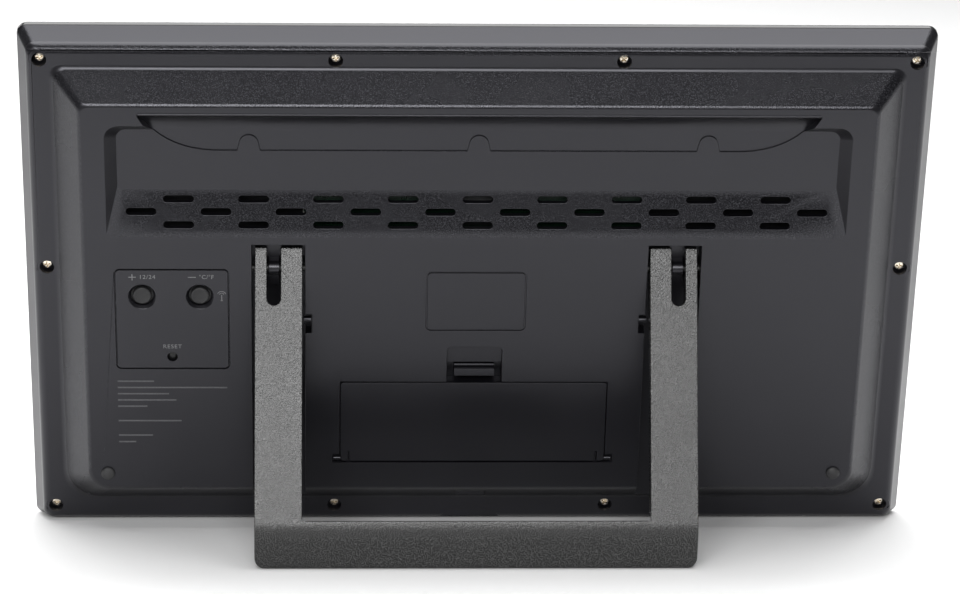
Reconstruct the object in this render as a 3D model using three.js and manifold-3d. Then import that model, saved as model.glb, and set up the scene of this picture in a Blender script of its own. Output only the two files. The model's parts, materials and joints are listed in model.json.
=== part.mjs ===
// A large digital LCD clock with thermometer, seen as it stands on a table: a flat body that leans back on a
// fold-out U-shaped stand. Units are millimetres, +Z is up, +X is the long side, and the display looks to -Y.
//
// The body is drawn upright in its own frame: x along the long side, z up the panel, y out of the back, with
// y = 0 on the ledge that the case screws go through. The group `body` then leans it back. The stand is drawn
// folded, with its hinge axis at the origin, and the group `stand` swings it open.

import * as THREE from 'three';
import Module from 'manifold-3d';
import { mergeVertices } from 'three/addons/utils/BufferGeometryUtils.js';

const wasm = await Module();
wasm.setup();

// ---------------------------------------------------------------- driving dimensions

const GAP = 0.3; // between pieces that touch
const HALF_WIDTH = 184;
const HALF_HEIGHT = 115;
const WALL = 2.2; // of the rear cover

// levels along y
const FRONT_FACE = -15.5;
const PARTING = -11.5; // where front frame and rear cover meet
const PLATEAU = 12.7; // the raised middle of the back
const PLATEAU_INSIDE = PLATEAU - WALL;
const RECESS_FLOOR = 7.7;
const GRIP_FLOOR = 7.1;
const CHANNEL_FLOOR = 2.5;

// the plateau's foot on the ledge and its top edge
const FOOT = { x: 170.3, bottom: -99.4, top: 101.7 };
const TOP = { x: 159, bottom: -87.6, top: 91.4 };

// case screws
const SCREW_X = 174.7;
const SCREW_INNER_X = 57.4;
const SCREW_ROWS = { top: 105.2, middle: 11.2, bottom: -104.1 };
const SCREW_CUP = 2.9; // radius of the sunk hole round each head
const PILOT = 1.4; // radius of the hole round each shank

// stand and its hinge
const PIVOT = { y: 6, z: 14.7 };
const OPEN_ANGLE = THREE.MathUtils.degToRad(32.9);
const ARM = { inner: 70.6, outer: 89.9, face: 6.7, back: -2.9, tip: 8 };
const CHANNEL = { inner: 69.5, outer: 91.2, top: 28.6 };
const FORK = { left: 79.4, right: 85, bottom: 15.9 };
const BAR_TOP = 103.1; // from the hinge axis down to the crossbar
const BEND = { at: 107.95, angle: THREE.MathUtils.degToRad(28.5), radius: 16, foot: 16.4 };
const PIN_RADIUS = 1.5;

// battery bay and door
const DOOR = { x: 54.9, bottom: -74.1, top: -36.1, axisZ: -73.2, axisY: 11.6 };
const BAY = { x: 54.3, bottom: -71.5, top: -39.5, floor: -5.1 };
const CELL = { radius: 7.2, length: 49.2, nub: 2.7, nubLength: 1.2 };
const CELL_ROWS = [-47.6, -63.4];
const CELL_Y = 2.4;

// controls, at the upper left of the back as seen from behind
const PLUS = { x: 135.65, z: 4.5 };
const MINUS = { x: 112.2, z: 4.5 };
const RESET = { x: 123.8, z: -23.8 };
const BUTTON_RADIUS = 3.8;

// display stack
const WINDOW = { x: 165, z: 96.5 };
const GLASS = { x: 166, z: 97.5, front: -11.2, back: -8.4 };
const BOARD = { x: 70, bottom: -16, top: 88, front: -5.6, back: -4 };

// ---------------------------------------------------------------- materials

function plastic(color, roughness = 0.5) {
  return new THREE.MeshStandardMaterial({ color, roughness, metalness: 0 });
}

function metal(color, roughness = 0.35) {
  return new THREE.MeshStandardMaterial({ color, roughness, metalness: 1 });
}

const casePlastic = plastic(0x2a2a2d, 0.5);
const glossPlastic = plastic(0x0c0c0e, 0.12);
const standPlastic = plastic(0x38383b, 0.55);
const innerPlastic = plastic(0xd8d8d2, 0.6);
const rubber = plastic(0x1a1a1c, 0.8);
const clearSheet = plastic(0xe6eef0, 0.05);
const displayGlass = plastic(0x9aa79a, 0.1);
const circuitBoard = plastic(0x1f6b3a, 0.45);
const chipBlack = plastic(0x151515, 0.4);
const steel = metal(0xb9b2a2, 0.3);
const nickel = metal(0xc8c8c4, 0.25);
const brass = metal(0xc9a350, 0.3);
const copper = metal(0xb06a3a, 0.35);
const ferrite = plastic(0x3b3936, 0.7);
const cellWrap = plastic(0x3d4a55, 0.35);
const redWire = plastic(0xa02020, 0.5);
const blackWire = plastic(0x202020, 0.5);

// ---------------------------------------------------------------- solids

// Turns a closed three.js geometry into a solid that can be cut and joined.
function solid(geometry) {
  const plain = geometry.clone();
  plain.deleteAttribute('normal');
  plain.deleteAttribute('uv');
  const merged = mergeVertices(plain, 1e-4);
  return new wasm.Manifold(new wasm.Mesh({
    numProp: 3,
    vertProperties: new Float32Array(merged.attributes.position.array),
    triVerts: new Uint32Array(merged.index.array),
  }));
}

function piece(name, shape, material) {
  const result = shape.getMesh();
  const geometry = new THREE.BufferGeometry();
  geometry.setAttribute('position', new THREE.BufferAttribute(result.vertProperties, 3));
  geometry.setIndex(new THREE.BufferAttribute(result.triVerts, 1));
  const mesh = new THREE.Mesh(geometry, material);
  mesh.name = name;
  return mesh;
}

function join(shapes) {
  return shapes.reduce((whole, next) => whole.add(next));
}

function cut(shape, cutters) {
  return cutters.reduce((left, cutter) => left.subtract(cutter), shape);
}

function block(x0, x1, y0, y1, z0, z1) {
  const geometry = new THREE.BoxGeometry(x1 - x0, y1 - y0, z1 - z0);
  geometry.translate((x0 + x1) / 2, (y0 + y1) / 2, (z0 + z1) / 2);
  return solid(geometry);
}

// A closed outline in x and z, extruded from y0 to y1.
function plate(shape, y0, y1, curveSegments = 2) {
  const geometry = new THREE.ExtrudeGeometry(shape, { depth: y1 - y0, bevelEnabled: false, curveSegments });
  geometry.rotateX(Math.PI / 2);
  geometry.translate(0, y1, 0);
  return solid(geometry);
}

// A closed outline given as [z, y] points, extruded along x.
function beam(points, x0, x1) {
  const shape = new THREE.Shape(points.map(([z, y]) => new THREE.Vector2(y, z)));
  const geometry = new THREE.ExtrudeGeometry(shape, { depth: x1 - x0, bevelEnabled: false });
  geometry.rotateY(Math.PI / 2);
  geometry.rotateX(Math.PI / 2);
  geometry.translate(x0, 0, 0);
  return solid(geometry);
}

function rounded(x0, x1, z0, z1, radius) {
  const shape = new THREE.Shape();
  shape.absarc(x1 - radius, z1 - radius, radius, 0, Math.PI / 2);
  shape.absarc(x0 + radius, z1 - radius, radius, Math.PI / 2, Math.PI);
  shape.absarc(x0 + radius, z0 + radius, radius, Math.PI, 1.5 * Math.PI);
  shape.absarc(x1 - radius, z0 + radius, radius, 1.5 * Math.PI, 2 * Math.PI);
  return shape;
}

function roundedPlate(x0, x1, z0, z1, radius, y0, y1, curveSegments = 2) {
  return plate(rounded(x0, x1, z0, z1, radius), y0, y1, curveSegments);
}

// A round rod along y.
function rod(x, z, y0, y1, radius, sides = 14, radiusAtY0 = radius) {
  const geometry = new THREE.CylinderGeometry(radius, radiusAtY0, y1 - y0, sides);
  geometry.translate(x, (y0 + y1) / 2, z);
  return solid(geometry);
}

// A round rod along x.
function axle(x0, x1, y, z, radius, sides = 16) {
  const geometry = new THREE.CylinderGeometry(radius, radius, x1 - x0, sides);
  geometry.rotateZ(Math.PI / 2);
  geometry.translate((x0 + x1) / 2, y, z);
  return solid(geometry);
}

// A profile of [radius, y] points turned round an axis along y.
function turned(profile, x, z, sides = 20) {
  const geometry = new THREE.LatheGeometry(profile.map(([r, y]) => new THREE.Vector2(r, y)), sides);
  geometry.translate(x, 0, z);
  return solid(geometry);
}

// Rounded rectangles of different sizes stacked along y and skinned into one solid. It is an extrusion whose
// steps are moved to the sections' sizes.
function loft(sections, arcSegments = 2) {
  const levels = [...sections].sort((a, b) => b.y - a.y);
  const geometry = new THREE.ExtrudeGeometry(rounded(-2, 2, -2, 2, 1), {
    depth: levels.length - 1,
    steps: levels.length - 1,
    bevelEnabled: false,
    curveSegments: arcSegments,
  });
  const points = geometry.attributes.position;
  for (let i = 0; i < points.count; i += 1) {
    const level = levels[Math.round(points.getZ(i))];
    const right = points.getX(i) > 0;
    const upper = points.getY(i) > 0;
    const radius = upper ? level.radius : level.lowerRadius ?? level.radius;
    const across = radius * (2 - Math.abs(points.getX(i)));
    const up = radius * (2 - Math.abs(points.getY(i)));
    const x = right ? level.x1 - across : level.x0 + across;
    const z = upper ? level.z1 - up : level.z0 + up;
    points.setXYZ(i, x, level.y, z);
  }
  return solid(geometry);
}

// A section of the body's outline, set in from its widest line.
function bodySection(y, inset, radius) {
  return {
    y, radius,
    x0: inset - HALF_WIDTH, x1: HALF_WIDTH - inset,
    z0: inset - HALF_HEIGHT, z1: HALF_HEIGHT - inset,
  };
}

// Sections that round an edge over: y rises by radius while the outline moves in by radius.
function roundOver(section, yStart, insetStart, radius, steps) {
  return Array.from({ length: steps + 1 }, (_, i) => {
    const turn = (i / steps) * (Math.PI / 2);
    return section(yStart + radius * Math.sin(turn), insetStart + radius * (1 - Math.cos(turn)));
  });
}

// A cross-recessed pan-head screw along y. The head's top is at headY and the shank runs towards -y, or
// towards +y when direction is 1.
function screw(x, z, headY, head, shankLength, direction = -1, sides = 12) {
  const down = (depth) => headY + direction * depth;
  const height = head * 0.75;
  const profile = [
    [0, down(0)], [head * 0.6, down(0)], [head, down(height * 0.5)], [head, down(height)],
    [head * 0.5, down(height)], [head * 0.5, down(height + shankLength)], [0, down(height + shankLength)],
  ];
  const turnedScrew = turned(direction < 0 ? profile.reverse() : profile, x, z, sides);
  const slot = head * 0.16;
  const reach = head * 0.62;
  const [y0, y1] = [down(-0.1), down(height * 0.55)].sort((a, b) => a - b);
  return cut(turnedScrew, [
    block(x - reach, x + reach, y0, y1, z - slot, z + slot),
    block(x - slot, x + slot, y0, y1, z - reach, z + reach),
  ]);
}

const screwPlaces = [
  ...[-SCREW_X, -SCREW_INNER_X, SCREW_INNER_X, SCREW_X].map((x) => [x, SCREW_ROWS.top]),
  ...[-SCREW_X, SCREW_X].map((x) => [x, SCREW_ROWS.middle]),
  ...[-SCREW_X, -SCREW_INNER_X, SCREW_INNER_X, SCREW_X].map((x) => [x, SCREW_ROWS.bottom]),
];
const SCREW_HEAD_Y = -2.3;
const CUP_BOTTOM = -4.1;
const CUP_UNDERSIDE = -5.7;

// ---------------------------------------------------------------- front frame and display stack

// The glossy bezel: a face with the window, a rim that meets the rear cover, a lip that locates inside the
// cover, and one post under each case screw.
function frontFrame() {
  const section = (y, inset) => bodySection(y, inset, 4);
  const edge = roundOver((y, inset) => section(y, inset), 0, 0, 1.8, 3)
    .map((s) => ({ ...s, y: FRONT_FACE + 1.8 - s.y }));
  const outside = loft([section(PARTING - GAP / 2, 0), ...edge]);
  const inside = roundedPlate(
    2.6 - HALF_WIDTH, HALF_WIDTH - 2.6, 2.6 - HALF_HEIGHT, HALF_HEIGHT - 2.6, 2, FRONT_FACE + 2.2, 0);
  const window = roundedPlate(-WINDOW.x, WINDOW.x, -WINDOW.z, WINDOW.z, 1.5, FRONT_FACE - 1, 0);
  const lipOutside = roundedPlate(
    4 - HALF_WIDTH, HALF_WIDTH - 4, 4 - HALF_HEIGHT, HALF_HEIGHT - 4, 2, FRONT_FACE + 2, PARTING + 1.8);
  const lipInside = roundedPlate(
    5.4 - HALF_WIDTH, HALF_WIDTH - 5.4, 5.4 - HALF_HEIGHT, HALF_HEIGHT - 5.4, 1.5, FRONT_FACE + 2.2, 0);
  const posts = screwPlaces.map(([x, z]) => rod(x, z, FRONT_FACE + 2, CUP_UNDERSIDE - GAP, 3, 12));
  const pilots = screwPlaces.map(([x, z]) => rod(x, z, FRONT_FACE + 3, 0, PILOT, 8));
  const lip = lipOutside.subtract(lipInside);
  return cut(join([outside.subtract(inside), lip, ...posts]).subtract(window), pilots);
}

// The moulded frame that clamps the glass from behind and carries the main board on two rails.
const RAIL = { inner: 62, outer: 70.5, back: BOARD.front - GAP };
const HOLDER = { x: 170.5, z: 100.7, back: -6.9 };
const boardScrewPlaces = [[-66, 80], [66, 80], [-66, -10], [66, -10]];

function lcdHolder() {
  const ring = roundedPlate(-HOLDER.x, HOLDER.x, -HOLDER.z, HOLDER.z, 2, GLASS.front, HOLDER.back);
  const seat = block(
    -GLASS.x - GAP, GLASS.x + GAP, GLASS.front - 1, GLASS.back + GAP, -GLASS.z - GAP, GLASS.z + GAP);
  const opening = roundedPlate(-162, 162, -93.5, 93.5, 2, GLASS.front, 0);
  const rails = [-1, 1].map((side) => {
    const [x0, x1] = [side * RAIL.inner, side * RAIL.outer].sort((a, b) => a - b);
    return block(x0, x1, GLASS.back + GAP, RAIL.back, -95, 95);
  });
  const pilots = boardScrewPlaces.map(([x, z]) => rod(x, z, GLASS.back + 0.9, 0, 1.1, 10));
  return cut(join([cut(ring, [seat, opening]), ...rails]), pilots);
}

function mainBoard() {
  const board = block(-BOARD.x, BOARD.x, BOARD.front, BOARD.back, BOARD.bottom, BOARD.top);
  return cut(board, boardScrewPlaces.map(([x, z]) => rod(x, z, BOARD.front - 1, BOARD.back + 1, 1.1, 10)));
}

// A tuned antenna for the time signal: a ferrite rod with its winding, in two saddles of the rear cover.
const ANTENNA = { x0: -152, x1: -92, y: 3.4, z: -58, radius: 4 };

function antennaCoil() {
  const tube = axle(-134, -110, ANTENNA.y, ANTENNA.z, ANTENNA.radius + 1.6, 20);
  return tube.subtract(axle(-140, -100, ANTENNA.y, ANTENNA.z, ANTENNA.radius + GAP, 16));
}

// ---------------------------------------------------------------- rear cover

function plateauSection(y, growth, radius, lowerRadius) {
  const share = y / PLATEAU;
  const between = (foot, top) => foot + (top - foot) * share;
  return {
    y, radius, lowerRadius,
    x0: -between(FOOT.x, TOP.x) - growth, x1: between(FOOT.x, TOP.x) + growth,
    z0: between(FOOT.bottom, TOP.bottom) - growth, z1: between(FOOT.top, TOP.top) + growth,
  };
}

// The outside of the shell: a tapered skirt with a rounded back edge, and the raised plateau.
function coverOutside() {
  const SKIRT_TAPER = 3.6;
  const ROUND = 3.8;
  const skirt = loft([
    bodySection(PARTING + GAP / 2, 0, 4),
    ...roundOver((y, inset) => bodySection(y, inset, 4), -ROUND, SKIRT_TAPER, ROUND, 5),
  ]);
  const crest = 1.2;
  const plateau = loft([
    plateauSection(-1, 0, 5, 13),
    plateauSection(PLATEAU - crest, 0, 3.5, 9.5),
    plateauSection(PLATEAU - 0.35, -0.35, 3.3, 9.2),
    plateauSection(PLATEAU, -0.9, 3, 9),
  ]);
  return skirt.add(plateau);
}

function coverInside() {
  const slopeWall = WALL * 1.34;
  const skirt = loft([
    bodySection(PARTING - 1, WALL, 2.5),
    bodySection(-WALL, WALL + 3.9, 2.5),
  ]);
  const plateau = loft([
    plateauSection(-WALL - 0.5, -slopeWall, 4, 11),
    plateauSection(PLATEAU_INSIDE, -slopeWall, 2, 8),
  ]);
  return skirt.add(plateau);
}

// The long recess near the top. Its lower side is the sloping band that holds the vents.
const RECESS = {
  outer: { x: 149.3, bottom: 32.1, top: 82.2 },
  floor: { x: 144.7, bottom: 51.3, top: 78.4 },
};

function recess(depthMore, growth) {
  const side = (rim, y, radius, lowerRadius) => ({
    y, radius: radius + growth, lowerRadius: lowerRadius + growth,
    x0: -rim.x - growth, x1: rim.x + growth, z0: rim.bottom - growth, z1: rim.top + growth,
  });
  const slope = (key) => (RECESS.outer[key] - RECESS.floor[key]) / (PLATEAU - RECESS_FLOOR);
  const above = 1;
  const lifted = {
    x: RECESS.outer.x + slope('x') * above,
    bottom: RECESS.outer.bottom + slope('bottom') * above,
    top: RECESS.outer.top + slope('top') * above,
  };
  return loft([
    side(RECESS.floor, RECESS_FLOOR - depthMore, 4, 2),
    side(lifted, PLATEAU + above - depthMore, 6, 2),
  ]);
}

// The hand grip and hanging groove under the lip at the recess's top: its ends sweep in, and its lower edge
// has three round bumps that centre the screws of a wall.
const GRIP = {
  top: 86.5, bottom: 69, halfTop: 136.5, halfBottom: 106, bump: 4.6, bumpTop: 76, lip: 0.9, cove: 11,
};

function gripOutline() {
  const shape = new THREE.Shape();
  const top = GRIP.top + GRIP.lip;
  shape.moveTo(GRIP.halfTop, top);
  shape.lineTo(-GRIP.halfTop, top);
  shape.quadraticCurveTo(-GRIP.halfTop + 9, GRIP.bottom + 1, -GRIP.halfBottom, GRIP.bottom);
  [-92, 0, 92].forEach((x) => {
    shape.lineTo(x - GRIP.bump, GRIP.bottom);
    shape.lineTo(x - GRIP.bump + 0.8, GRIP.bumpTop - 3.2);
    shape.absarc(x, GRIP.bumpTop - 3.8, 3.8, Math.PI * 0.95, Math.PI * 0.05, true);
    shape.lineTo(x + GRIP.bump, GRIP.bottom);
  });
  shape.lineTo(GRIP.halfBottom, GRIP.bottom);
  shape.quadraticCurveTo(GRIP.halfTop - 9, GRIP.bottom + 1, GRIP.halfTop, top);
  return shape;
}

// The grip's section: rounded over at the lip, then a wide cove that runs out on its floor.
function gripHollow() {
  const lip = [0, 0.5, 1].map((t) => {
    const turn = (1 + t) * Math.PI / 2;
    return [GRIP.top + GRIP.lip * (1 + Math.cos(turn)), PLATEAU - GRIP.lip * (1 - Math.sin(turn))];
  });
  const steepest = Math.acos(1 - (PLATEAU - GRIP.lip - GRIP_FLOOR) / GRIP.cove);
  const cove = [1, 0.8, 0.6, 0.4, 0.2, 0].map((t) => {
    const along = GRIP.cove * (Math.sin(steepest) - Math.sin(steepest * t));
    return [GRIP.top - along, GRIP_FLOOR + GRIP.cove * (1 - Math.cos(steepest * t))];
  });
  const section = [
    [GRIP.top + GRIP.lip, PLATEAU + 1], ...lip, ...cove,
    [GRIP.bottom - 2, GRIP_FLOOR], [GRIP.bottom - 2, PLATEAU + 1],
  ];
  return plate(gripOutline(), GRIP_FLOOR - 1, PLATEAU + 2, 5).intersect(beam(section, -150, 150));
}

// 28 rounded vent slots in three rows, the middle row half a pitch aside.
function ventSlots() {
  const PITCH = 30.08;
  const LENGTH = 12.2;
  const HEIGHT = 2.8;
  const slots = [];
  const row = (count, z) => {
    for (let i = 0; i < count; i += 1) {
      const x = (i - (count - 1) / 2) * PITCH;
      slots.push(roundedPlate(
        x - LENGTH / 2, x + LENGTH / 2, z - HEIGHT / 2, z + HEIGHT / 2, HEIGHT / 2 - 0.01, 0, 14, 1));
    }
  };
  row(9, 47.5);
  row(10, 42.4);
  row(9, 37.1);
  return slots;
}

// A narrow moulded groove along a rounded rectangle.
function groove([x0, x1, z0, z1], radius, width, depth) {
  return roundedPlate(x0, x1, z0, z1, radius, PLATEAU - depth, PLATEAU + 1).subtract(roundedPlate(
    x0 + width, x1 - width, z0 + width, z1 - width, radius - width, PLATEAU - depth - 1, PLATEAU + 2));
}

// Holes, grooves and pockets of the plateau.
function plateauCuts() {
  const keys = [PLUS, MINUS].flatMap(({ x, z }) => [
    rod(x, z, PLATEAU_INSIDE - 1, PLATEAU + 1, 4.6, 20),
    rod(x, z, PLATEAU - 1.4, PLATEAU + 0.1, 5.8, 20, 4.6),
  ]);
  return [
    groove([100.3, 146.8, -29.6, 17.4], 2.2, 0.55, 1.2),
    ...keys,
    rod(RESET.x, RESET.z, PLATEAU_INSIDE - 1, PLATEAU + 1, 2.1, 16),
    groove([-20.5, 20.4, -11.2, 16.4], 2.2, 0.65, 0.6),
    // door rebate, bay and the notches that its hinge pegs snap into
    block(-DOOR.x - 0.4, DOOR.x + 0.4, DOOR_SEAT, PLATEAU + 1, DOOR.bottom - 0.8, DOOR.top + 0.4),
    block(-BAY.x, BAY.x, BAY.floor, PLATEAU + 1, BAY.bottom, BAY.top),
    block(-58.4, 58.4, DOOR.axisY - 1.3, PLATEAU + 1, DOOR.axisZ - 1.3, DOOR.axisZ + 1.3),
    // latch pocket and finger well above the door
    roundedPlate(-LATCH.wellX, LATCH.wellX, -35.9, LATCH.wellTop, 2, LATCH.wellFloor, PLATEAU + 1),
    block(-LATCH.wellX, LATCH.wellX, LATCH.pocketFloor, PLATEAU + 1, -37.9, -28.2),
    // blind holes for the wall bumpers
    ...[-1, 1].map((side) => rod(side * BUMPER.x, BUMPER.z, PLATEAU - 1.6, PLATEAU + 1, 1.8, 12)),
    // catch pocket in the bottom slope, and a thumb scoop in the ledge below it
    block(-6.2, 6.2, 1, 7, -98.4, -90),
    rod(0, -118, -1.1, 1, 14.6, 28),
  ];
}

const NOTCH = { inner: 66.9, bottom: -12.4, top: -3.7, floor: 6 }; // beside each channel, round its snap nib
const DOOR_SEAT = PLATEAU - 2.3;
const LATCH = { wellX: 11.3, wellTop: -19, wellFloor: 9.2, pocketFloor: 4 };
const BUMPER = { x: 151.6, z: -80 };
const boardPosts = [[105, -12], [142.5, -12]];

// Everything inside that the shell keeps as skin: the floors of its recesses, the bay and the channels.
function skins() {
  const channel = (side) => {
    const [x0, x1] = [side * (CHANNEL.inner - WALL), side * (CHANNEL.outer + WALL)].sort((a, b) => a - b);
    return block(x0, x1, CHANNEL_FLOOR - WALL, PLATEAU, FOOT.bottom, CHANNEL.top + WALL);
  };
  const notchWall = (side) => {
    const [x0, x1] = [side * (NOTCH.inner - 1.8), side * CHANNEL.inner].sort((a, b) => a - b);
    return block(x0, x1, NOTCH.floor - 1.6, PLATEAU, NOTCH.bottom - 1.6, NOTCH.top + 1.6);
  };
  return [
    recess(WALL, 1.4),
    block(-GRIP.halfTop - 2, GRIP.halfTop + 2, GRIP_FLOOR - 1.8, PLATEAU, GRIP.bottom - 2, GRIP.top + 2),
    ...[-1, 1].flatMap((side) => [channel(side), notchWall(side)]),
    block(-BAY.x - 1.6, BAY.x + 1.6, BAY.floor - 1.6, PLATEAU, BAY.bottom - 1.6, BAY.top + 1.6),
    block(-60, 60, DOOR_SEAT - 1.8, PLATEAU, DOOR.bottom - 2, DOOR.top + 2),
    block(-LATCH.wellX - 1.6, LATCH.wellX + 1.6, LATCH.pocketFloor - 1.6, PLATEAU, -39.5, -26.6),
    block(-LATCH.wellX - 1.6, LATCH.wellX + 1.6, LATCH.wellFloor - 1.6, PLATEAU, -30, LATCH.wellTop + 1.6),
    block(-8, 8, -2.5, 8.8, -101, -86),
    // saddles of the antenna
    ...[ANTENNA.x0 + 4, ANTENNA.x1 - 7].map((x) => block(x, x + 3, ANTENNA.y - 1, PLATEAU, -66, -50)),
    // posts of the control board, bosses round the hinge pins
    ...boardPosts.map(([x, z]) => rod(x, z, 3.5, PLATEAU, 3, 14)),
    ...[-1, 1].flatMap((side) => [[64.5, 69.5], [91.2, 95.2]].map(([near, far]) => {
      const [x0, x1] = [side * near, side * far].sort((a, b) => a - b);
      return axle(x0, x1, PIVOT.y, PIVOT.z, 4.2, 16);
    })),
  ];
}

// The lug that stands in each fork and carries the hinge pin.
function hingeLug(side) {
  const [x0, x1] = [side * 80, side * 84.4].sort((a, b) => a - b);
  const tongue = block(x0, x1, CHANNEL_FLOOR - 0.5, PIVOT.y, PIVOT.z - 8, PIVOT.z + 3);
  return join([
    axle(x0, x1, PIVOT.y, PIVOT.z, 3.1, 18),
    tongue,
  ]);
}

function rearCover() {
  const channels = [-1, 1].flatMap((side) => {
    const [x0, x1] = [side * CHANNEL.inner, side * CHANNEL.outer].sort((a, b) => a - b);
    const [n0, n1] = [side * NOTCH.inner, side * 70].sort((a, b) => a - b);
    return [
      block(x0, x1, CHANNEL_FLOOR, PLATEAU + 1, -112, CHANNEL.top),
      block(n0, n1, NOTCH.floor, PLATEAU + 1, NOTCH.bottom, NOTCH.top),
    ];
  });
  const nibs = [-1, 1].map((side) => {
    const [x0, x1] = [side * (NOTCH.inner - 0.5), side * 70.3].sort((a, b) => a - b);
    return axle(x0, x1, 9, -8, 1.4, 10);
  });
  const outside = cut(coverOutside(), [
    recess(0, 0),
    gripHollow(),
    ...channels,
  ]);
  const shell = outside.subtract(cut(coverInside(), skins()));
  const cups = screwPlaces.map(([x, z]) => rod(x, z, CUP_UNDERSIDE, -0.5, SCREW_CUP + 1.4));
  const whole = join([shell, ...cups, hingeLug(-1), hingeLug(1), ...nibs]);
  const screwHoles = screwPlaces.flatMap(([x, z]) => [
    rod(x, z, CUP_BOTTOM, 1, SCREW_CUP, 16),
    rod(x, z, CUP_UNDERSIDE - 1, 0, PILOT, 8),
  ]);
  const pinHoles = [-1, 1].map((side) => {
    const [x0, x1] = [side * 67.3, side * 93.4].sort((a, b) => a - b);
    return axle(x0, x1, PIVOT.y, PIVOT.z, PIN_RADIUS + GAP, 14);
  });
  return cut(whole, [
    ...ventSlots(),
    ...plateauCuts(),
    ...screwHoles,
    ...pinHoles,
    ...boardPosts.map(([x, z]) => rod(x, z, 3, 9.5, PILOT, 10)),
    axle(ANTENNA.x0 - 2, ANTENNA.x1 + 2, ANTENNA.y, ANTENNA.z, ANTENNA.radius + GAP, 18),
    block(ANTENNA.x0, ANTENNA.x1, -3, ANTENNA.y, ANTENNA.z - 3.4, ANTENNA.z + 3.4),
    // tails of the battery contacts leave the bay here
    ...[-BAY.x - 2, BAY.x - 0.5].flatMap((x) => CELL_ROWS.map((z) => block(x, x + 2.5, -1, 0.8, z - 2.4, z + 2.4))),
  ]);
}

// ---------------------------------------------------------------- battery door, cells and contacts

// The door is one moulding: a plate with two hinge pegs on flexible ears, and a U-shaped latch.
function batteryDoor() {
  const sheet = roundedPlate(-DOOR.x, DOOR.x, DOOR.bottom, DOOR.top, 1.2, DOOR_SEAT + GAP, PLATEAU);
  const slits = [-1, 1].map((side) => {
    const [x0, x1] = [side * 51.2, side * 52].sort((a, b) => a - b);
    return block(x0, x1, DOOR_SEAT - 1, PLATEAU + 1, DOOR.bottom - 1, -69.5);
  });
  const peg = axle(-57.9, 57.9, DOOR.axisY, DOOR.axisZ, 0.9, 12)
    .subtract(block(-DOOR.x + 1, DOOR.x - 1, 0, 20, -80, -60));
  const latch = beam([
    [DOOR.top - 1.2, PLATEAU - 1], [DOOR.top - 1.2, 4.7], [-29.6, 4.7], [-29.6, 8.4], [-28.9, 8.7],
    [-28.9, 9], [-29.6, 9.6], [-29.6, 12.3], [-33, 12.3], [-33, 11.3], [-30.8, 11.1], [-30.8, 5.9],
    [DOOR.top, 5.9], [DOOR.top, PLATEAU - 1],
  ], -8.3, 8.3);
  const ribs = [-36, -12, 12, 36].map((x) => block(x - 0.6, x + 0.6, DOOR_SEAT - 0.2, DOOR_SEAT + 1, -70, -41));
  const clearRound = cut(sheet, slits);
  return join([clearRound, peg, latch, ...ribs]);
}

// One AA cell along x. Its positive end points to +x when direction is 1.
function cell(x, z, direction) {
  const half = CELL.length / 2;
  const profile = [
    [0, -half], [5.2, -half], [5.6, -half + 0.4], [CELL.radius - 0.4, -half + 0.4], [CELL.radius, -half + 0.9],
    [CELL.radius, half - 0.9], [CELL.radius - 0.4, half - 0.3], [CELL.nub, half - 0.3],
    [CELL.nub, half + CELL.nubLength - 0.3], [CELL.nub - 0.3, half + CELL.nubLength],
    [0, half + CELL.nubLength],
  ];
  const geometry = new THREE.LatheGeometry(profile.map(([r, y]) => new THREE.Vector2(r, y)), 14);
  geometry.rotateZ(direction > 0 ? -Math.PI / 2 : Math.PI / 2);
  geometry.translate(x, CELL_Y, z);
  return solid(geometry);
}

// A conical contact spring along x, from the plate at x0 towards the cell.
function spring(x0, z, length, direction) {
  const TURNS = 2.75;
  class Coil extends THREE.Curve {
    getPoint(t, target = new THREE.Vector3()) {
      const angle = t * TURNS * 2 * Math.PI;
      const radius = 4.4 - 1.8 * t;
      return target.set(
        x0 + direction * length * t, CELL_Y + radius * Math.cos(angle), z + radius * Math.sin(angle));
    }
  }
  const wire = new THREE.Shape();
  wire.absarc(0, 0, 0.4, 0, 2 * Math.PI);
  return solid(new THREE.ExtrudeGeometry(wire, {
    steps: 32, curveSegments: 3, bevelEnabled: false, extrudePath: new Coil(),
  }));
}

const CONTACT = 0.5; // sheet thickness
const CONTACT_X = BAY.x - GAP; // outer face of each contact sheet
const SPRING_LENGTH = 4.5;

// A contact sheet on one end wall of the bay, with a tail through the wall.
function contactSheet(side, rows) {
  const [x0, x1] = [side * (CONTACT_X - CONTACT), side * CONTACT_X].sort((a, b) => a - b);
  const sheets = rows.map((z) => block(x0, x1, -3.6, 8.2, z - 5.6, z + 5.6));
  const tails = rows.slice(0, 1).map((z) => {
    const [t0, t1] = [side * (CONTACT_X - CONTACT), side * (CONTACT_X + 3.6)].sort((a, b) => a - b);
    return block(t0, t1, -0.6, 0.1, z - 2, z + 2);
  });
  const bridge = rows.length > 1 ? [block(x0, x1, -2, 6.6, CELL_ROWS[1], CELL_ROWS[0])] : [];
  return join([...sheets, ...tails, ...bridge]);
}

function springContact(side, rows, springRow) {
  return contactSheet(side, rows).add(
    spring(side * (CONTACT_X - CONTACT + 0.2), springRow, SPRING_LENGTH, -side));
}

// ---------------------------------------------------------------- controls

// A push cap with a retaining collar under the cover and a stem over its switch.
function keyCap({ x, z }) {
  const top = PLATEAU - 0.6;
  return turned([
    [0, 8.5], [1.6, 8.5], [1.6, 9], [5.3, 9], [5.3, 9.9], [BUTTON_RADIUS, 9.9],
    [BUTTON_RADIUS, top - 0.5], [BUTTON_RADIUS - 0.4, top - 0.1], [BUTTON_RADIUS - 1, top], [0, top],
  ], x, z, 18);
}

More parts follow.
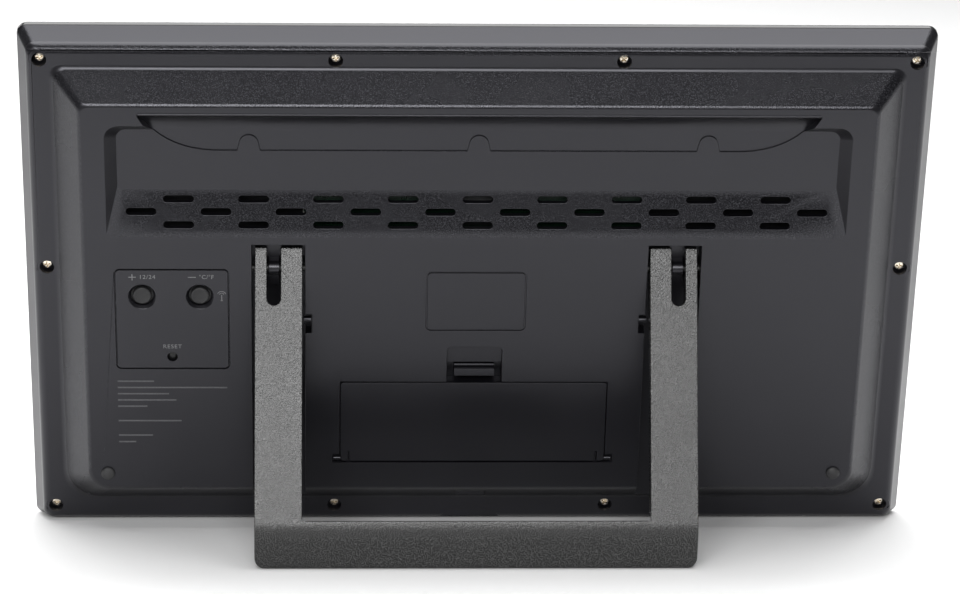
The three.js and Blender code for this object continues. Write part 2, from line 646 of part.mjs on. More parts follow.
function resetCap({ x, z }) {
  return turned([
    [0, 8.5], [2.9, 8.5], [2.9, 9.6], [1.7, 9.6], [1.7, 10.6], [1.3, 10.9], [0, 10.9],
  ], x, z, 12);
}

const CONTROL_BOARD = { x0: 101, x1: 147, z0: -30, z1: 14, front: 1.6, back: 3.2 };

function controlBoard() {
  const { x0, x1, z0, z1, front, back } = CONTROL_BOARD;
  return cut(block(x0, x1, front, back, z0, z1),
    boardPosts.map(([x, z]) => rod(x, z, front - 1, back + 1, PILOT, 10)));
}

// A tact switch: a square body with its round plunger.
function tactSwitch({ x, z }) {
  const bottom = CONTROL_BOARD.back + GAP;
  return block(x - 3, x + 3, bottom, bottom + 3.4, z - 3, z + 3).add(rod(x, z, bottom + 3, 7.6, 1.7, 14));
}

// ---------------------------------------------------------------- stand

// The foot's end lies flat on the table, so the lean of the body follows from the stand's size: the table
// touches the body's parting edge and the foot's outer edge.
const footEnd = {
  u: BEND.at + BEND.foot * Math.cos(BEND.angle),
  n: ARM.face - BEND.foot * Math.sin(BEND.angle),
};
const footInBody = {
  y: PIVOT.y + footEnd.u * Math.sin(OPEN_ANGLE) + footEnd.n * Math.cos(OPEN_ANGLE),
  z: PIVOT.z - footEnd.u * Math.cos(OPEN_ANGLE) + footEnd.n * Math.sin(OPEN_ANGLE),
};
const LEAN = Math.atan2(footInBody.z + HALF_HEIGHT, footInBody.y - PARTING - GAP / 2);

// The case's bottom slope as the folded stand meets it, moved out by the clearance: [u, n] at share t.
const SLOPE_CLEARANCE = 0.5;
function slopeLine(t) {
  const start = { u: PIVOT.z - TOP.bottom, n: PLATEAU - PIVOT.y };
  const end = { u: PIVOT.z - FOOT.bottom, n: -PIVOT.y };
  const run = end.u - start.u;
  const drop = start.n - end.n;
  const length = Math.hypot(run, drop);
  const shift = [SLOPE_CLEARANCE * (drop / length), SLOPE_CLEARANCE * (run / length)];
  return [start.u + run * t + shift[0], start.n - drop * t + shift[1]];
}

function standSolid() {
  // side view as [u, n]: u down the leg from the hinge axis, n out of the back
  const underside = -5.4;
  const intoSole = (footEnd.n - underside) * Math.tan(OPEN_ANGLE - LEAN);
  const arc = [];
  const tangent = BEND.radius * Math.tan(BEND.angle / 2);
  for (let i = 0; i <= 6; i += 1) {
    const turn = (i / 6) * BEND.angle;
    arc.push([
      BEND.at - tangent + BEND.radius * Math.sin(turn),
      ARM.face - BEND.radius * (1 - Math.cos(turn)),
    ]);
  }
  const soleInner = [footEnd.u - intoSole, underside];
  const slopeFoot = slopeLine(0.958);
  const side = [
    [-ARM.tip, ARM.face - 0.5], [-ARM.tip + 0.5, ARM.face], ...arc, [footEnd.u, footEnd.n], soleInner,
    [slopeFoot[0], underside], [slopeLine(0.76)[0], ARM.back], [0.4, ARM.back], [-ARM.tip, 2.1],
  ];
  const asBeam = (points, x0, x1) => beam(points.map(([u, n]) => [-u, n]), x0, x1);
  const body = asBeam(side, -ARM.outer, ARM.outer);

  const outline = rounded(-ARM.outer, ARM.outer, -footEnd.u, ARM.tip + 4, 4.2);
  const window = rounded(-ARM.inner, ARM.inner, -BAR_TOP, ARM.tip + 20, 1.9);
  const wedge = [
    slopeLine(-0.3), slopeLine(1.2), [slopeLine(1.2)[0], -12], [90, -12], [90, slopeLine(-0.3)[1]],
  ];
  const hollow = [
    [104.8, 4.5], [109.2, 4], [119.4, -1.6], [118.4, -8], [100, -8], [100, 4.5],
  ];
  const ribPitch = 22.1;
  const barPockets = [-3.5, -2.5, -1.5, -0.5, 0.5, 1.5, 2.5, 3.5].map((k) => asBeam(
    hollow, k * ribPitch - ribPitch / 2 + 0.8, k * ribPitch + ribPitch / 2 - 0.8));
  const forks = [-1, 1].map((s) => {
    const [x0, x1] = [s * FORK.left, s * FORK.right].sort((a, b) => a - b);
    return roundedPlate(x0, x1, -FORK.bottom, ARM.tip + 10, 2.79, -20, 20);
  });
  const armPockets = [-1, 1].flatMap((s) => [20, 38, 56, 74].map((u) => {
    const [x0, x1] = [s * (ARM.inner + 2.2), s * (ARM.outer - 2.2)].sort((a, b) => a - b);
    return block(x0, x1, ARM.back - 1, ARM.face - 2.4, -u - 16.6, -u);
  }));
  const pins = [-1, 1].map((s) => {
    const [x0, x1] = [s * 60, s * 99].sort((a, b) => a - b);
    return axle(x0, x1, 0, 0, PIN_RADIUS + GAP, 14);
  });
  const catchNib = asBeam([[109.6, -1], [107.6, -1.7], [107.9, -2.4], [113, -3.4]], -4.5, 4.5);
  const shaped = body.intersect(plate(outline, -20, 20, 3));
  const open = cut(shaped, [
    plate(window, -20, 20, 3),
    asBeam(wedge, -ARM.inner, ARM.inner),
    ...forks,
    ...armPockets,
    ...barPockets.map((pocket) => pocket.intersect(plate(
      rounded(-ARM.outer + 2.2, ARM.outer - 2.2, -footEnd.u + 2, 0, 2), -20, 20))),
    ...pins,
  ]);
  return open.add(catchNib);
}

// ---------------------------------------------------------------- wires inside the case

// A wire bent along a few points, as a tube with a round or flat section.
function wire(points, halfWidth, halfHeight = halfWidth) {
  const path = new THREE.CatmullRomCurve3(points.map(([x, y, z]) => new THREE.Vector3(x, y, z)));
  const section = new THREE.Shape();
  section.absellipse(0, 0, halfWidth, halfHeight, 0, 2 * Math.PI);
  return solid(new THREE.ExtrudeGeometry(section, {
    steps: 24, curveSegments: 4, bevelEnabled: false, extrudePath: path,
  }));
}

// From the tail of a battery contact, past the bay's end wall, up to a pad on the main board.
function batteryWire(z, outwards) {
  const tail = -CONTACT_X - 4.6;
  const x = tail - outwards;
  return wire([[tail, -0.3, z], [x, -2, z + 3], [x, -2.8, z + 14], [x, -2.6, -22], [x, -3, -12]], 0.6);
}

// The flat cable between the control board and the main board.
function controlCable() {
  return wire([[103, 0.7, 0], [96, -1.6, 0], [76, -2.6, 0], [66, -2.8, 0], [60, -3.2, 0]], 5, 0.35);
}

// ---------------------------------------------------------------- assembly

const clock = new THREE.Group();
const body = new THREE.Group();
const stand = new THREE.Group();
clock.add(body);
body.add(stand);

body.add(piece('front_frame', frontFrame(), glossPlastic));
body.add(piece('display_window', roundedPlate(
  -WINDOW.x - 3, WINDOW.x + 3, -WINDOW.z - 3, WINDOW.z + 3, 1.5, FRONT_FACE + 2.5, GLASS.front - GAP), clearSheet));
body.add(piece('lcd_glass', block(
  -GLASS.x, GLASS.x, GLASS.front, GLASS.back, -GLASS.z, GLASS.z), displayGlass));
body.add(piece('lcd_holder', lcdHolder(), innerPlastic));
body.add(piece('lcd_connector_strip', block(
  -58, 58, GLASS.back + GAP, BOARD.front - GAP, 84, 87.4), rubber));
body.add(piece('main_board', mainBoard(), circuitBoard));
boardScrewPlaces.forEach(([x, z], i) => {
  body.add(piece(`board_screw_${i + 1}`, screw(x, z, BOARD.back + 1.7, 1.6, 3, -1), steel));
});
body.add(piece('controller_chip', block(-8, 8, BOARD.back + GAP, BOARD.back + 2, 30, 46), chipBlack));
body.add(piece('clock_crystal', axle(16, 24, BOARD.back + GAP + 1.2, 38, 1.2, 12), nickel));
body.add(piece('radio_receiver', block(-56, -34, BOARD.back + GAP, BOARD.back + 2.4, 8, 24), circuitBoard));
body.add(piece('antenna_rod', axle(
  ANTENNA.x0, ANTENNA.x1, ANTENNA.y, ANTENNA.z, ANTENNA.radius, 20), ferrite));
body.add(piece('antenna_coil', antennaCoil(), copper));
body.add(piece('piezo_buzzer', turned([
  [0, 8.6], [13, 8.6], [13, 9.1], [9.5, 9.1], [9.5, 9.5], [0, 9.5],
], -128, -8, 20), brass));
body.add(piece('temperature_sensor', turned([
  [0, CONTROL_BOARD.back + GAP], [0.9, CONTROL_BOARD.back + GAP], [1.3, 5.2], [1.3, 6.4], [0.7, 7.2], [0, 7.4],
], 124, 10.6, 12), chipBlack));

body.add(piece('rear_cover', rearCover(), casePlastic));
screwPlaces.forEach(([x, z], i) => {
  body.add(piece(`case_screw_${i + 1}`, screw(x, z, SCREW_HEAD_Y, 2.05, 7.9, -1), steel));
});
[-1, 1].forEach((side) => {
  body.add(piece(`wall_bumper_${side > 0 ? 'left' : 'right'}`, turned([
    [0, PLATEAU - 1.3], [1.5, PLATEAU - 1.3], [1.5, PLATEAU + GAP], [2.95, PLATEAU + GAP],
    [2.5, PLATEAU + 1.2], [1.3, PLATEAU + 1.65], [0, PLATEAU + 1.75],
  ], side * BUMPER.x, BUMPER.z, 14), rubber));
});

body.add(piece('battery_door', batteryDoor(), casePlastic));
const HALF_PITCH = (CELL.length + CELL.nubLength + GAP) / 2;
const PUSHED_OVER = 2; // the springs push each row against its flat contact
[[1, CELL_ROWS[0], 1], [-1, CELL_ROWS[0], 1], [1, CELL_ROWS[1], -1], [-1, CELL_ROWS[1], -1]]
  .forEach(([end, z, direction], i) => {
    const x = end * HALF_PITCH + direction * PUSHED_OVER;
    body.add(piece(`battery_cell_${i + 1}`, cell(x, z, direction), cellWrap));
  });
body.add(piece('contact_positive', contactSheet(-1, [CELL_ROWS[1]]), nickel));
body.add(piece('contact_negative', springContact(-1, [CELL_ROWS[0]], CELL_ROWS[0]), nickel));
body.add(piece('contact_bridge', springContact(1, CELL_ROWS, CELL_ROWS[1]), nickel));

body.add(piece('battery_wire_red', batteryWire(CELL_ROWS[1], 4), redWire));
body.add(piece('battery_wire_black', batteryWire(CELL_ROWS[0], 1), blackWire));
body.add(piece('control_cable', controlCable(), blackWire));

body.add(piece('control_board', controlBoard(), circuitBoard));
boardPosts.forEach(([x, z], i) => {
  body.add(piece(`control_board_screw_${i + 1}`, screw(x, z, -0.2, 2, 6, 1), steel));
});
body.add(piece('plus_switch', tactSwitch(PLUS), chipBlack));
body.add(piece('minus_switch', tactSwitch(MINUS), chipBlack));
body.add(piece('reset_switch', tactSwitch(RESET), chipBlack));
body.add(piece('plus_button', keyCap(PLUS), rubber));
body.add(piece('minus_button', keyCap(MINUS), rubber));
body.add(piece('reset_button', resetCap(RESET), rubber));

stand.add(piece('stand', standSolid(), standPlastic));
stand.position.set(0, PIVOT.y, PIVOT.z);
stand.rotation.x = OPEN_ANGLE;
[-1, 1].forEach((side) => {
  const [x0, x1] = [side * 67.6, side * 93.1].sort((a, b) => a - b);
  body.add(piece(`hinge_pin_${side > 0 ? 'left' : 'right'}`,
    axle(x0, x1, PIVOT.y, PIVOT.z, PIN_RADIUS, 14), steel));
});

body.rotation.x = -LEAN;
clock.updateMatrixWorld(true);
const box = new THREE.Box3().setFromObject(clock, true);
body.position.set(-(box.min.x + box.max.x) / 2, -(box.min.y + box.max.y) / 2, -box.min.z);
clock.updateMatrixWorld(true);

export default clock;
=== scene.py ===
# %% [markdown]
# # The back of a large LCD clock
#
# The clock is a flat black case that leans on a fold-out stand, with its display on the side that looks
# away. Almost everything is moulded plastic, so the work lies in edges: each shell gets its real wall, its
# draft and a small round on every edge, because that is where black plastic shows its shape.
#
# The design frame is loaded first. It fixes every size, place and joint. The finer pieces below are drawn
# in millimetres in the case's own upright axes (x along the case, y out of its back, z up the back), and
# one matrix leans them into place.

# %% Load the frame
import json
import math

import bmesh
import bpy
from mathutils import Matrix, Vector


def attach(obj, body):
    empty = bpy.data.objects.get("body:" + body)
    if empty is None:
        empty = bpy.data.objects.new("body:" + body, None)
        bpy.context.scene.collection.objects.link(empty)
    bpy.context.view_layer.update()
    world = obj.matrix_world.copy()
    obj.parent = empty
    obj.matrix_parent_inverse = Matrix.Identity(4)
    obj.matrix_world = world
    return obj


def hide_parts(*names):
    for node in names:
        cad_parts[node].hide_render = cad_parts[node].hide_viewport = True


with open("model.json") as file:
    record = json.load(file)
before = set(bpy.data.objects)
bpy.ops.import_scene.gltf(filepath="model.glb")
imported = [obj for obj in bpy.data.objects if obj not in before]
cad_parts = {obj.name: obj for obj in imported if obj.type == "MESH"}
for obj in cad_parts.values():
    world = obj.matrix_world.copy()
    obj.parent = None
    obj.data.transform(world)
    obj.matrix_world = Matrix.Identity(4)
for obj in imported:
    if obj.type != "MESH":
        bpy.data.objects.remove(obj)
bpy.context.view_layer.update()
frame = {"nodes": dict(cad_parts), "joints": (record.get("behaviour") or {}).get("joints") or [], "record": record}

# %% The case's own axes
MM = 0.001
joints = {joint["name"]: joint for joint in frame["joints"]}
outward = -Vector(joints["reset_button_press"]["axis"])
along = Vector((1, 0, 0))
upward = along.cross(outward)
PIVOT_Y = 6.0
PIVOT_Z = 14.7
turn = Matrix((along, outward, upward)).transposed()
pivot = Vector(joints["stand_hinge"]["pos_m"])
origin = pivot - turn @ (Vector((0, PIVOT_Y, PIVOT_Z)) * MM)
CASE = Matrix.Translation(origin) @ turn.to_4x4() @ Matrix.Scale(MM, 4)
OPEN = math.radians(joints["stand_hinge"]["range_deg"][1])
LEG = CASE @ Matrix.Translation((0, PIVOT_Y, PIVOT_Z)) @ Matrix.Rotation(OPEN, 4, "X")


def extent(node):
    """Lowest and highest corner of a CAD node in the case's axes, in millimetres."""
    back = CASE.inverted()
    points = [back @ v.co for v in frame["nodes"][node].data.vertices]
    low = Vector([min(p[i] for p in points) for i in range(3)])
    high = Vector([max(p[i] for p in points) for i in range(3)])
    return low, high


def middle(node):
    low, high = extent(node)
    return (low + high) / 2


LEAN = math.acos(outward.y)
print("lean %.2f degrees, stand opens %.1f degrees" % (math.degrees(LEAN), math.degrees(OPEN)))

# %% [markdown]
# ## Camera, floor and light
#
# Black satin plastic has almost no colour of its own: what it shows is what it mirrors. The back faces
# slightly down, so it mirrors the pale floor, while the top edge and the leg mirror the light above. So the
# floor is broad and evenly lit, and the lights are large and soft.

# %% Camera
CAMERA_AT = Vector((0.06274, 1.53840, 0.43360))
CAMERA_AIM = Vector((-0.00227, 0.0, 0.10336))
CAMERA_ROLL = math.radians(0.59)
CAMERA_LENS = 143.5

camera = bpy.data.objects.new("camera", bpy.data.cameras.new("camera"))
camera.data.lens = CAMERA_LENS
camera.data.sensor_width = 36
camera.data.clip_start = 0.05
camera.matrix_world = (
    Matrix.Translation(CAMERA_AT)
    @ (CAMERA_AIM - CAMERA_AT).to_track_quat("-Z", "Y").to_matrix().to_4x4()
    @ Matrix.Rotation(CAMERA_ROLL, 4, "Z")
)
bpy.context.scene.collection.objects.link(camera)
bpy.context.scene.camera = camera
print("camera distance %.2f m" % (CAMERA_AIM - CAMERA_AT).length)

# %% Floor and lights
LAMPS = {
    "softbox_behind": {"at": (0.35, 2.4, 1.05), "size": (1.8, 0.9), "power": 58},
    "softbox_above": {"at": (0.0, -0.75, 1.7), "size": (2.4, 1.5), "power": 40},
    "softbox_floor": {"at": (0.0, 0.2, 1.9), "size": (2.2, 1.0), "power": 26},
    "softbox_front": {"at": (0.6, -2.4, 0.9), "size": (1.6, 1.0), "power": 10},
}
case_middle = Vector((0, 0, 0.11))
for name, lamp in LAMPS.items():
    light = bpy.data.lights.new(name, "AREA")
    light.shape = "RECTANGLE"
    light.size, light.size_y = lamp["size"]
    light.energy = lamp["power"]
    holder = bpy.data.objects.new(name, light)
    holder.location = lamp["at"]
    holder.rotation_euler = (case_middle - Vector(lamp["at"])).to_track_quat("-Z", "Y").to_euler()
    bpy.context.scene.collection.objects.link(holder)

world = bpy.data.worlds.new("studio")
world.use_nodes = True
room = world.node_tree.nodes["Background"]
room.inputs["Color"].default_value = (1.0, 1.0, 1.0, 1)
room.inputs["Strength"].default_value = 0.16
backdrop = world.node_tree.nodes.new("ShaderNodeBackground")
backdrop.inputs["Color"].default_value = (1.0, 1.0, 1.0, 1)
backdrop.inputs["Strength"].default_value = 1.0
seen = world.node_tree.nodes.new("ShaderNodeLightPath")
choice = world.node_tree.nodes.new("ShaderNodeMixShader")
world.node_tree.links.new(seen.outputs["Is Camera Ray"], choice.inputs["Fac"])
world.node_tree.links.new(room.outputs[0], choice.inputs[1])
world.node_tree.links.new(backdrop.outputs[0], choice.inputs[2])
world.node_tree.links.new(choice.outputs[0], world.node_tree.nodes["World Output"].inputs["Surface"])
bpy.context.scene.world = world
bpy.context.scene.view_settings.view_transform = "Standard"
print("lights:", len(LAMPS))

# %% [markdown]
# ## Finishes
#
# Four finishes carry the look: the satin plastic of the case, the coarse spark-eroded plastic of the leg
# and of the sloped bands, the gloss of the front, and plated metal. Each is a short node tree: one broad
# noise that shifts colour and roughness a little, because no moulding is even, and one fine noise whose
# bumps are the grain of the mould. A picture of plastic would give the same look only from near one
# distance.


# %% Helpers for node trees
def new_finish(name):
    material = bpy.data.materials.new(name)
    material.use_nodes = True
    shader = material.node_tree.nodes["Principled BSDF"]
    place = material.node_tree.nodes.new("ShaderNodeTexCoord")
    return material, shader, place.outputs["Object"]


def noise(material, place, size_mm, detail=2.0, stretch=None):
    """Noise whose lumps are about so many millimetres across."""
    nodes, links = material.node_tree.nodes, material.node_tree.links
    texture = nodes.new("ShaderNodeTexNoise")
    texture.inputs["Scale"].default_value = 1 / (size_mm * MM)
    texture.inputs["Detail"].default_value = detail
    if stretch:
        mapping = nodes.new("ShaderNodeMapping")
        mapping.inputs["Scale"].default_value = stretch
        links.new(place, mapping.inputs["Vector"])
        place = mapping.outputs["Vector"]
    links.new(place, texture.inputs["Vector"])
    return texture.outputs["Fac"]


def spread(material, value, low, high, start=0.3, end=0.7):
    """Maps a noise value to a range of numbers."""
    nodes, links = material.node_tree.nodes, material.node_tree.links
    span = nodes.new("ShaderNodeMapRange")
    span.inputs["From Min"].default_value = start
    span.inputs["From Max"].default_value = end
    span.inputs["To Min"].default_value = low
    span.inputs["To Max"].default_value = high
    links.new(value, span.inputs["Value"])
    return span.outputs["Result"]


def blend_colours(material, value, first, second, start=0.3, end=0.7):
    """Shades from one colour to another as a noise value rises."""
    nodes, links = material.node_tree.nodes, material.node_tree.links
    ramp = nodes.new("ShaderNodeValToRGB")
    ramp.color_ramp.elements[0].position = start
    ramp.color_ramp.elements[0].color = (*first, 1)
    ramp.color_ramp.elements[1].position = end
    ramp.color_ramp.elements[1].color = (*second, 1)
    links.new(value, ramp.inputs["Fac"])
    return ramp.outputs["Color"]


def grain(material, shader, value, depth_mm, strength):
    """Turns a noise value into bumps of so many millimetres."""
    nodes, links = material.node_tree.nodes, material.node_tree.links
    bump = nodes.new("ShaderNodeBump")
    bump.inputs["Strength"].default_value = strength
    bump.inputs["Distance"].default_value = depth_mm * MM
    links.new(value, bump.inputs["Height"])
    links.new(bump.outputs["Normal"], shader.inputs["Normal"])


# %% Plastic, rubber and metal
BROAD_MM = 45
COOL = (0.92, 0.92, 1.0)


def plastic(name, first, second, rough, grain_mm, depth_mm, strength=0.5, flecks=False, sheen=(1, 1, 1)):
    """Moulded plastic, whose colour follows the broad unevenness, or with flecks the grain itself."""
    material, shader, place = new_finish(name)
    links = material.node_tree.links
    fine = noise(material, place, grain_mm, 1.0)
    broad = noise(material, place, BROAD_MM, 3.0)
    leading, start = (fine, 0.52) if flecks else (broad, 0.42)
    colour = blend_colours(material, leading, first, second, start, 0.66)
    links.new(colour, shader.inputs["Base Color"])
    shader.inputs["Specular Tint"].default_value = (*sheen, 1)
    links.new(spread(material, broad, rough[0], rough[1]), shader.inputs["Roughness"])
    grain(material, shader, fine, depth_mm, strength)
    return material


def metal(name, first, second, rough, streak=None):
    """Bare or plated metal, with fine scratches that a streak can draw out along one axis."""
    material, shader, place = new_finish(name)
    links = material.node_tree.links
    worn = noise(material, place, 1.6, 4.0)
    fine = noise(material, place, 0.35, 2.0, streak)
    shader.inputs["Metallic"].default_value = 1.0
    links.new(blend_colours(material, worn, first, second), shader.inputs["Base Color"])
    links.new(spread(material, fine, rough[0], rough[1]), shader.inputs["Roughness"])
    grain(material, shader, fine, 0.01, 0.35)
    return material


# Name, darker and lighter colour, range of roughness, then the grain's size and depth in mm and its strength.
satin = plastic(
    "satin_case", (0.0032, 0.0031, 0.0042), (0.0050, 0.0048, 0.0062), (0.29, 0.35), 0.45, 0.010, 0.3,
    sheen=COOL)
spark = plastic(
    "spark_band", (0.002, 0.002, 0.003), (0.024, 0.024, 0.027), (0.25, 0.29), 0.45, 0.10, 0.8, True, COOL)
leg_spark = plastic(
    "spark_leg", (0.004, 0.004, 0.004), (0.05, 0.05, 0.05), (0.22, 0.27), 0.40, 0.13, 0.9, True)
gloss = plastic("gloss_front", (0.004, 0.004, 0.005), (0.007, 0.007, 0.008), (0.06, 0.12), 3.0, 0.004, 0.12)
rubber = plastic("soft_rubber", (0.008, 0.008, 0.009), (0.018, 0.018, 0.019), (0.5, 0.66), 0.4, 0.02, 0.5)
white_plastic = plastic("inner_plastic", (0.6, 0.6, 0.56), (0.72, 0.72, 0.68), (0.4, 0.55), 0.8, 0.02, 0.4)
chip = plastic("chip_body", (0.012, 0.012, 0.013), (0.03, 0.03, 0.032), (0.35, 0.5), 0.3, 0.02, 0.5)
ferrite = plastic("ferrite_rod", (0.03, 0.028, 0.026), (0.06, 0.055, 0.05), (0.5, 0.7), 0.8, 0.05, 0.7)
red_cover = plastic("red_insulation", (0.3, 0.012, 0.01), (0.42, 0.03, 0.02), (0.35, 0.5), 1.2, 0.02, 0.3)
black_cover = plastic(
    "black_insulation", (0.01, 0.01, 0.01), (0.025, 0.025, 0.025), (0.35, 0.5), 1.2, 0.02, 0.3)
screw_metal = metal("plated_screw", (0.66, 0.58, 0.46), (0.88, 0.82, 0.72), (0.16, 0.3))
dark_steel = metal("dark_steel", (0.03, 0.03, 0.03), (0.07, 0.07, 0.07), (0.3, 0.45))
nickel = metal("nickel_plate", (0.6, 0.59, 0.56), (0.74, 0.73, 0.7), (0.12, 0.3), (1, 1, 8))
brass = metal("brass_disc", (0.58, 0.4, 0.14), (0.72, 0.54, 0.25), (0.2, 0.38))
copper = metal("copper_winding", (0.5, 0.2, 0.09), (0.68, 0.32, 0.16), (0.2, 0.34), (60, 1, 1))
cell_sleeve = plastic(
    "cell_sleeve", (0.012, 0.016, 0.022), (0.02, 0.026, 0.034), (0.22, 0.3), 2.0, 0.004, 0.2)
cell_band = plastic("cell_band", (0.42, 0.20, 0.05), (0.5, 0.25, 0.07), (0.2, 0.28), 2.0, 0.004, 0.2)
print("plain finishes ready")


# %% Circuit board, display and window
def circuit_board():
    """Green lacquer over copper tracks that run in two directions, its colours made near black as painted shade
    for the inside of the case.
    """
    material, shader, place = new_finish("green_board")
    nodes, links = material.node_tree.nodes, material.node_tree.links
    tracks = nodes.new("ShaderNodeTexBrick")
    tracks.inputs["Scale"].default_value = 1 / (4 * MM)
    tracks.inputs["Mortar Size"].default_value = 0.05
    # Painted shade: these near-black greens stand in for the shade inside the case, not for the board's own
    # colour.
    tracks.inputs["Color1"].default_value = (0.002, 0.010, 0.006, 1)
    tracks.inputs["Color2"].default_value = (0.003, 0.014, 0.008, 1)
    tracks.inputs["Mortar"].default_value = (0.010, 0.035, 0.018, 1)
    mapping = nodes.new("ShaderNodeMapping")
    mapping.inputs["Rotation"].default_value = (math.pi / 2, 0, 0)
    links.new(place, mapping.inputs["Vector"])
    links.new(mapping.outputs["Vector"], tracks.inputs["Vector"])
    links.new(tracks.outputs["Color"], shader.inputs["Base Color"])
    uneven = noise(material, place, 6)
    links.new(spread(material, uneven, 0.25, 0.4), shader.inputs["Roughness"])
    return material


def display_back():
    """The grey-green field of an LCD, a little uneven, under a polished sheet."""
    material, shader, place = new_finish("display_field")
    links = material.node_tree.links
    broad = noise(material, place, 90, 2.0)
    field = blend_colours(material, broad, (0.30, 0.335, 0.285), (0.34, 0.375, 0.32))
    links.new(field, shader.inputs["Base Color"])
    links.new(spread(material, broad, 0.18, 0.26), shader.inputs["Roughness"])
    grain(material, shader, noise(material, place, 0.5), 0.004, 0.2)
    return material


def clear_window():
    """Clear acrylic: almost all light goes through, and the rest mirrors more the flatter one looks at it."""
    material, shader, place = new_finish("clear_sheet")
    nodes, links = material.node_tree.nodes, material.node_tree.links
    shader.inputs["Base Color"].default_value = (0.9, 0.93, 0.93, 1)
    shader.inputs["Metallic"].default_value = 1.0
    links.new(spread(material, noise(material, place, 30), 0.03, 0.06), shader.inputs["Roughness"])
    through = nodes.new("ShaderNodeBsdfTransparent")
    share_seen = nodes.new("ShaderNodeFresnel")
    share_seen.inputs["IOR"].default_value = 1.49
    mix = nodes.new("ShaderNodeMixShader")
    links.new(share_seen.outputs[0], mix.inputs["Fac"])
    links.new(through.outputs[0], mix.inputs[1])
    links.new(shader.outputs[0], mix.inputs[2])
    links.new(mix.outputs[0], nodes["Material Output"].inputs["Surface"])
    return material


def flat_ink(name, first, second, rough=0.5):
    material, shader, place = new_finish(name)
    links = material.node_tree.links
    worn = noise(material, place, 0.7, 4.0)
    links.new(blend_colours(material, worn, first, second), shader.inputs["Base Color"])
    links.new(spread(material, worn, rough, rough + 0.15), shader.inputs["Roughness"])
    return material


board_green = circuit_board()
display_field = display_back()
window_clear = clear_window()
legend_ink = flat_ink("legend_ink", (0.11, 0.11, 0.115), (0.20, 0.20, 0.205))
faint_ink = flat_ink("faint_ink", (0.045, 0.045, 0.05), (0.075, 0.075, 0.08))
segment_dark = flat_ink("segment_on", (0.012, 0.014, 0.013), (0.02, 0.022, 0.02), 0.3)
segment_faint = flat_ink("segment_off", (0.265, 0.295, 0.25), (0.285, 0.315, 0.27), 0.3)
print("materials:", len(bpy.data.materials))


def paint(piece, material):
    """Gives a whole piece one finish."""
    piece.data.materials.clear()
    piece.data.materials.append(material)
    return piece


# %% Small tools for meshes
def link(name, mesh):
    piece = bpy.data.objects.new(name, mesh)
    bpy.context.scene.collection.objects.link(piece)
    return piece


def from_bmesh(name, shape):
    bmesh.ops.recalc_face_normals(shape, faces=shape.faces)
    mesh = bpy.data.meshes.new(name)
    shape.to_mesh(mesh)
    shape.free()
    return link(name, mesh)


def remove(*pieces):
    """Deletes helper objects and their meshes."""
    for piece in pieces:
        mesh = piece.data
        bpy.data.objects.remove(piece)
        bpy.data.meshes.remove(mesh)


def baked(piece):
    """A new plain object that holds what the piece's modifiers make."""
    bpy.context.view_layer.update()
    evaluated = piece.evaluated_get(bpy.context.evaluated_depsgraph_get())
    mesh = bpy.data.meshes.new_from_object(evaluated)
    mesh.name = piece.name
    name = piece.name
    remove(piece)
    return link(name, mesh)


def boolean(piece, others, operation):
    """Cuts other solids from a solid, or joins them to it."""
    group = bpy.data.collections.new("others")
    bpy.context.scene.collection.children.link(group)
    for other in others:
        group.objects.link(other)
    step = piece.modifiers.new("boolean", "BOOLEAN")
    step.operation = operation
    step.solver = "MANIFOLD"
    step.operand_type = "COLLECTION"
    step.collection = group
    result = baked(piece)
    remove(*others)
    bpy.data.collections.remove(group)
    return result


def cut(piece, others):
    return boolean(piece, others, "DIFFERENCE")


def join(piece, others):
    return boolean(piece, others, "UNION")


def share(piece, other):
    """Keeps what two solids have in common."""
    step = piece.modifiers.new("share", "BOOLEAN")
    step.operation = "INTERSECT"
    step.solver = "MANIFOLD"
    step.object = other
    result = baked(piece)
    remove(other)
    return result


# %% [markdown]
# ## Solids drawn from outlines
#
# A moulding is mostly outlines that are pushed along one direction, so four makers cover nearly everything:
# a skin over stacked rounded rectangles, a prism, a round rod and a turned profile. Each returns a closed
# mesh that the cuts and joins can use.

# %% Outline makers
def arc(cx, cz, radius, start, end, steps):
    """Points on a round stretch, with angles in quarter turns."""
    points = []
    for i in range(steps + 1):
        angle = (start + (end - start) * i / steps) * math.pi / 2
        points.append((cx + radius * math.cos(angle), cz + radius * math.sin(angle)))
    return points


def rounded(x0, x1, z0, z1, radius, low_radius=None, steps=6):
    """A rectangle with round corners, whose two lower corners may have a radius of their own."""
    low = radius if low_radius is None else low_radius
    return (
        arc(x1 - radius, z1 - radius, radius, 0, 1, steps)
        + arc(x0 + radius, z1 - radius, radius, 1, 2, steps)
        + arc(x0 + low, z0 + low, low, 2, 3, steps)
        + arc(x1 - low, z0 + low, low, 3, 4, steps)
    )


# %% Solid makers
def skin(name, rings):
    """A closed solid over a stack of outlines, each a list of (x, y, z) with the same number of points."""
    shape = bmesh.new()
    rows = [[shape.verts.new(point) for point in ring] for ring in rings]
    count = len(rows[0])
    for lower, upper in zip(rows, rows[1:]):
        for i in range(count):
            j = (i + 1) % count
            shape.faces.new((lower[i], lower[j], upper[j], upper[i]))
    shape.faces.new(rows[0][::-1])
    shape.faces.new(rows[-1])
    return from_bmesh(name, shape)


def prism(outline, y0, y1, name="prism"):
    """An outline in x and z, pushed from y0 to y1."""
    return skin(name, [[(x, y, z) for x, z in outline] for y in (y0, y1)])


def beam(profile, x0, x1, name="beam"):
    """A profile of (z, y) points, pushed from x0 to x1."""
    return skin(name, [[(x, y, z) for z, y in profile] for x in (x0, x1)])


def block(x0, x1, y0, y1, z0, z1):
    return prism([(x0, z0), (x1, z0), (x1, z1), (x0, z1)], y0, y1)


def circle(x, z, radius, sides):
    turns = [2 * math.pi * i / sides for i in range(sides)]
    return [(x + radius * math.cos(a), z + radius * math.sin(a)) for a in turns]


